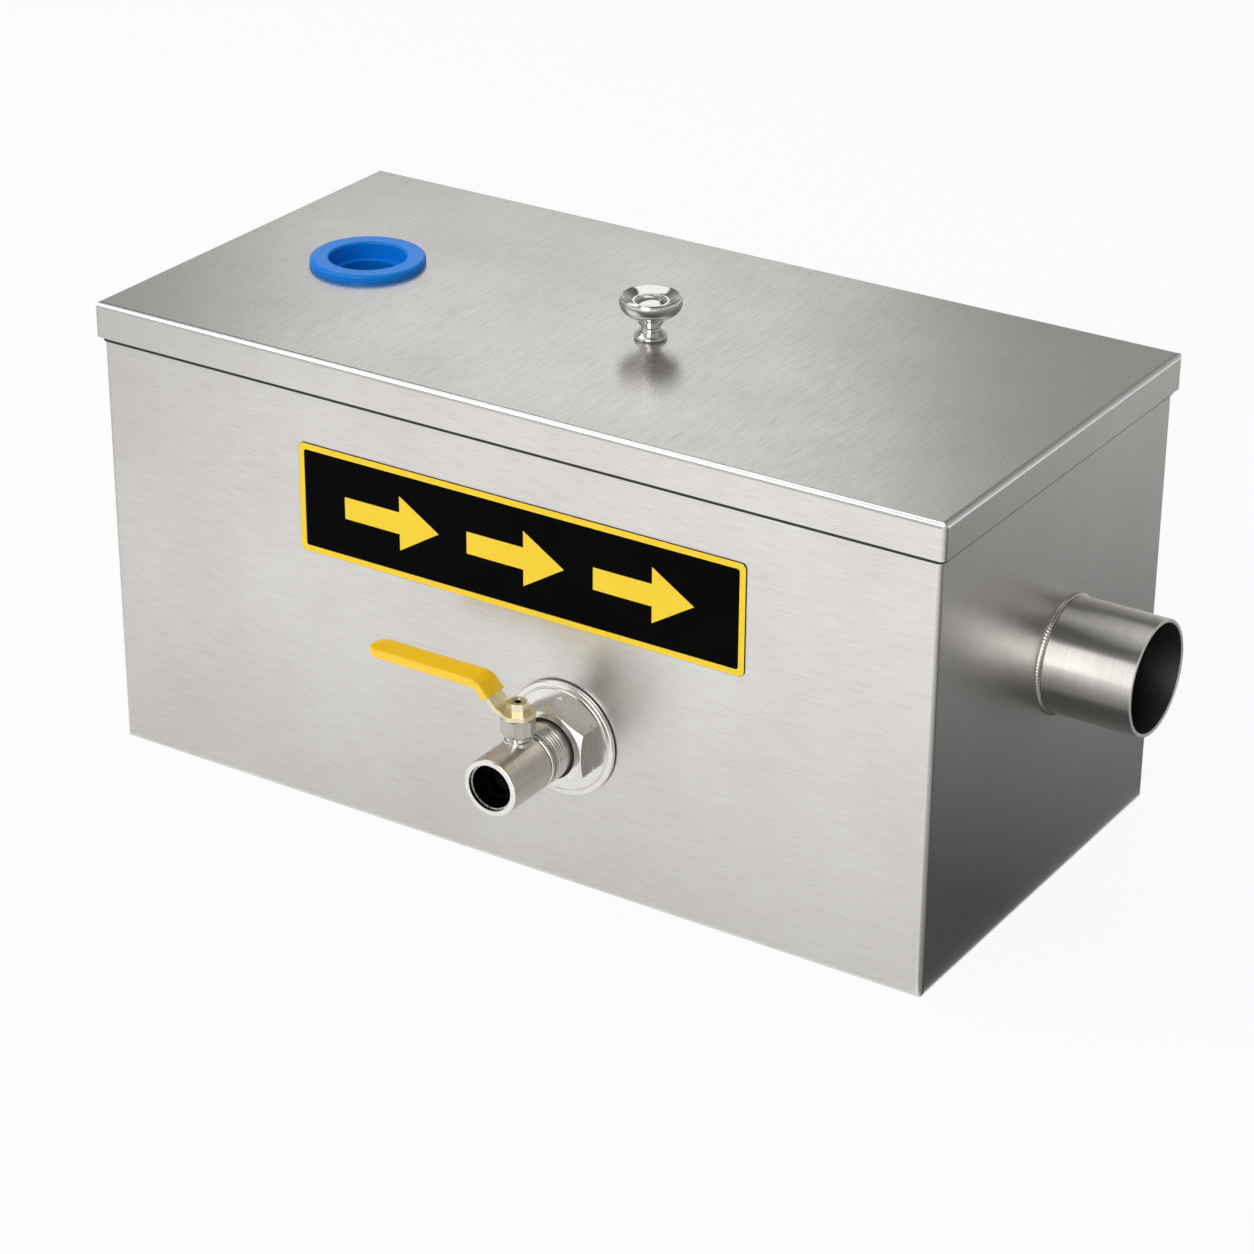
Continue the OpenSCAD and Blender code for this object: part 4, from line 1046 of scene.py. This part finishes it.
@dataclass
class Studio:
    """Floor, lamps, surroundings and camera."""

    azimuth_deg: float = 32.66
    elevation_deg: float = 26.25
    roll_deg: float = 0.39
    distance_mm: float = 1931.5
    target_mm: tuple[float, float, float] = (17.68, -20.09, 99.83)
    aim_mm: tuple[float, float] = (-4.9, -2.87)
    lens_mm: float = 106.3
    sensor_mm: float = 36.0
    clip_m: float = 0.05
    floor_glow: float = 0.92
    floor_z_m: float = -0.0002
    floor_reach_m: float = 8.0
    room: Fade = Fade("Z", (0.0, 0.9), (0.55, 0.08))

    def build(self) -> None:
        """Sets the view transform and builds the stage."""
        bpy.context.scene.view_settings.view_transform = "Standard"
        self.floor()
        self.cards()
        for box in SOFT_BOXES:
            box.hang()
        self.surroundings()
        self.camera()

    @staticmethod
    def card(name: str, corners: Sequence[Point], material: bpy.types.Material) -> bpy.types.Object:
        """Makes a flat card that belongs to the stage.

        Args:
            name: Its name.
            corners: Its four corners in metres.
            material: Its material.

        Returns:
            The card.
        """
        mesh = bpy.data.meshes.new(name)
        mesh.from_pydata([tuple(c) for c in corners], [], [(0, 1, 2, 3)])
        mesh.materials.append(material)
        piece = bpy.data.objects.new(name, mesh)
        bpy.context.scene.collection.objects.link(piece)
        return piece

    def floor(self) -> None:
        """Lays a pale floor: white to the camera and in the metal, with a faint shadow."""
        material, tree = blank_material("pale_floor")
        light = add(tree, "ShaderNodeLightPath")
        shiny = add(tree, "ShaderNodeMath", {"operation": "MAXIMUM"},
                    {0: light.outputs["Is Glossy Ray"], 1: light.outputs["Is Transmission Ray"]})
        seen = add(tree, "ShaderNodeMath", {"operation": "MAXIMUM"},
                   {0: light.outputs["Is Camera Ray"], 1: shiny.outputs[0]})
        share = add(tree, "ShaderNodeMath", {"operation": "MULTIPLY"},
                    {0: seen.outputs[0], 1: self.floor_glow})
        white = add(tree, "ShaderNodeEmission", None, {"Color": srgb("#ffffff"), "Strength": 1.0})
        matt = add(tree, "ShaderNodeBsdfDiffuse", None, {"Color": srgb("#f4f4f2")})
        both = add(tree, "ShaderNodeMixShader", None,
                   {0: share.outputs[0], 1: matt.outputs[0], 2: white.outputs[0]})
        add(tree, "ShaderNodeOutputMaterial", None, {"Surface": both.outputs[0]})
        reach = (self.floor_reach_m, self.floor_reach_m)
        self.card("floor", self.corners((-reach[0], -reach[1]), reach, self.floor_z_m), material)

    @staticmethod
    def corners(low: tuple[float, float], high: tuple[float, float], z: float) -> Loop:
        """Gives the corners of a level rectangle, counter-clockwise."""
        return [(low[0], low[1], z), (high[0], low[1], z),
                (high[0], high[1], z), (low[0], high[1], z)]

    def glow_card(self, name: str, low: tuple[float, float], high: tuple[float, float],
                  fades: Sequence[Fade]) -> None:
        """Lays a card on the floor, out of the picture, for the metal to mirror.

        Args:
            name: Its name.
            low: Its corner with the least x and y, in metres.
            high: The corner across from it.
            fades: How its brightness changes; they multiply.
        """
        material, tree = blank_material(name)
        place = add(tree, "ShaderNodeTexCoord")
        parts = add(tree, "ShaderNodeSeparateXYZ", None, {0: place.outputs["Object"]})
        level: Any = 1.0
        for fade in fades:
            ramp = add(tree, "ShaderNodeMapRange", None, fade.inputs(parts.outputs[fade.axis]))
            product = add(tree, "ShaderNodeMath", {"operation": "MULTIPLY"},
                          {0: level, 1: ramp.outputs[0]})
            level = product.outputs[0]
        glow = add(tree, "ShaderNodeEmission", None, {"Color": srgb("#fdfcfb"), "Strength": level})
        add(tree, "ShaderNodeOutputMaterial", None, {"Surface": glow.outputs[0]})
        card = self.card(name, self.corners(low, high, 0.0), material)
        card.visible_camera = False
        card.visible_diffuse = False
        card.visible_shadow = False

    def cards(self) -> None:
        """Lays dark cards beside the outlet's wall and a bright one before the front wall."""
        self.glow_card("dark_card", (0.249, -0.12), (1.1, 1.4),
                       [Fade("Y", (-0.02, 0.6), (0.07, 0.48))])
        self.glow_card("grey_card", (0.249, -1.6), (1.8, -0.12),
                       [Fade("Y", (-1.0, -0.12), (1.5, 0.25))])
        self.glow_card("bright_card", (-1.2, -1.2), (0.24, -0.124),
                       [Fade("Y", (-0.55, -0.13), (1.2, 0.82)),
                        Fade("X", (-0.56, -0.42), (0.68, 1.0))])

    def surroundings(self) -> None:
        """Paints the room: grey walls that get darker overhead."""
        world = bpy.data.worlds.new("grey_room")
        bpy.context.scene.world = world
        world.use_nodes = True
        tree = world.node_tree
        tree.nodes.clear()
        place = add(tree, "ShaderNodeTexCoord")
        parts = add(tree, "ShaderNodeSeparateXYZ", None, {0: place.outputs["Generated"]})
        light = add(tree, "ShaderNodeLightPath")
        level = add(tree, "ShaderNodeMapRange", {"interpolation_type": "SMOOTHSTEP"},
                    self.room.inputs(parts.outputs[self.room.axis]))
        shown = add(tree, "ShaderNodeMix", {"data_type": "FLOAT"},
                    {0: light.outputs["Is Camera Ray"], 2: level.outputs[0], 3: 1.0})
        glow = add(tree, "ShaderNodeBackground", None,
                   {"Color": srgb("#fbfaf8"), "Strength": shown.outputs[0]})
        add(tree, "ShaderNodeOutputWorld", None, {"Surface": glow.outputs[0]})

    def camera(self) -> None:
        """Sets the camera where the picture was taken from."""
        az, el = math.radians(self.azimuth_deg), math.radians(self.elevation_deg)
        roll = math.radians(self.roll_deg)
        back = Vector((math.sin(az) * math.cos(el), -math.cos(az) * math.cos(el), math.sin(el)))
        right = UP.cross(back).normalized()
        up = back.cross(right)
        right, up = (math.cos(roll) * right + math.sin(roll) * up,
                     math.cos(roll) * up - math.sin(roll) * right)
        target = Vector(self.target_mm) + self.aim_mm[0] * right + self.aim_mm[1] * up
        data = bpy.data.cameras.new("camera")
        data.lens, data.sensor_width, data.clip_start = self.lens_mm, self.sensor_mm, self.clip_m
        view = bpy.data.objects.new("camera", data)
        turn = Matrix((right, up, back)).transposed().to_4x4()
        view.matrix_world = Matrix.Translation((target + back * self.distance_mm) * MM) @ turn
        bpy.context.scene.collection.objects.link(view)
        bpy.context.scene.camera = view


def main() -> None:
    """Builds and dresses each sub-assembly in turn, then the stage."""
    logging.basicConfig(level=logging.INFO, format="%(message)s")
    Shell().dress()
    LidFittings().dress()
    outlet = Outlet()
    outlet.dress()
    outlet.build()
    DrainValve().dress()
    lever = Lever()
    lever.dress()
    lever.build()
    label = Label()
    label.dress()
    label.build()
    Inside().dress()
    Studio().build()


if __name__ == "__main__":
    main()
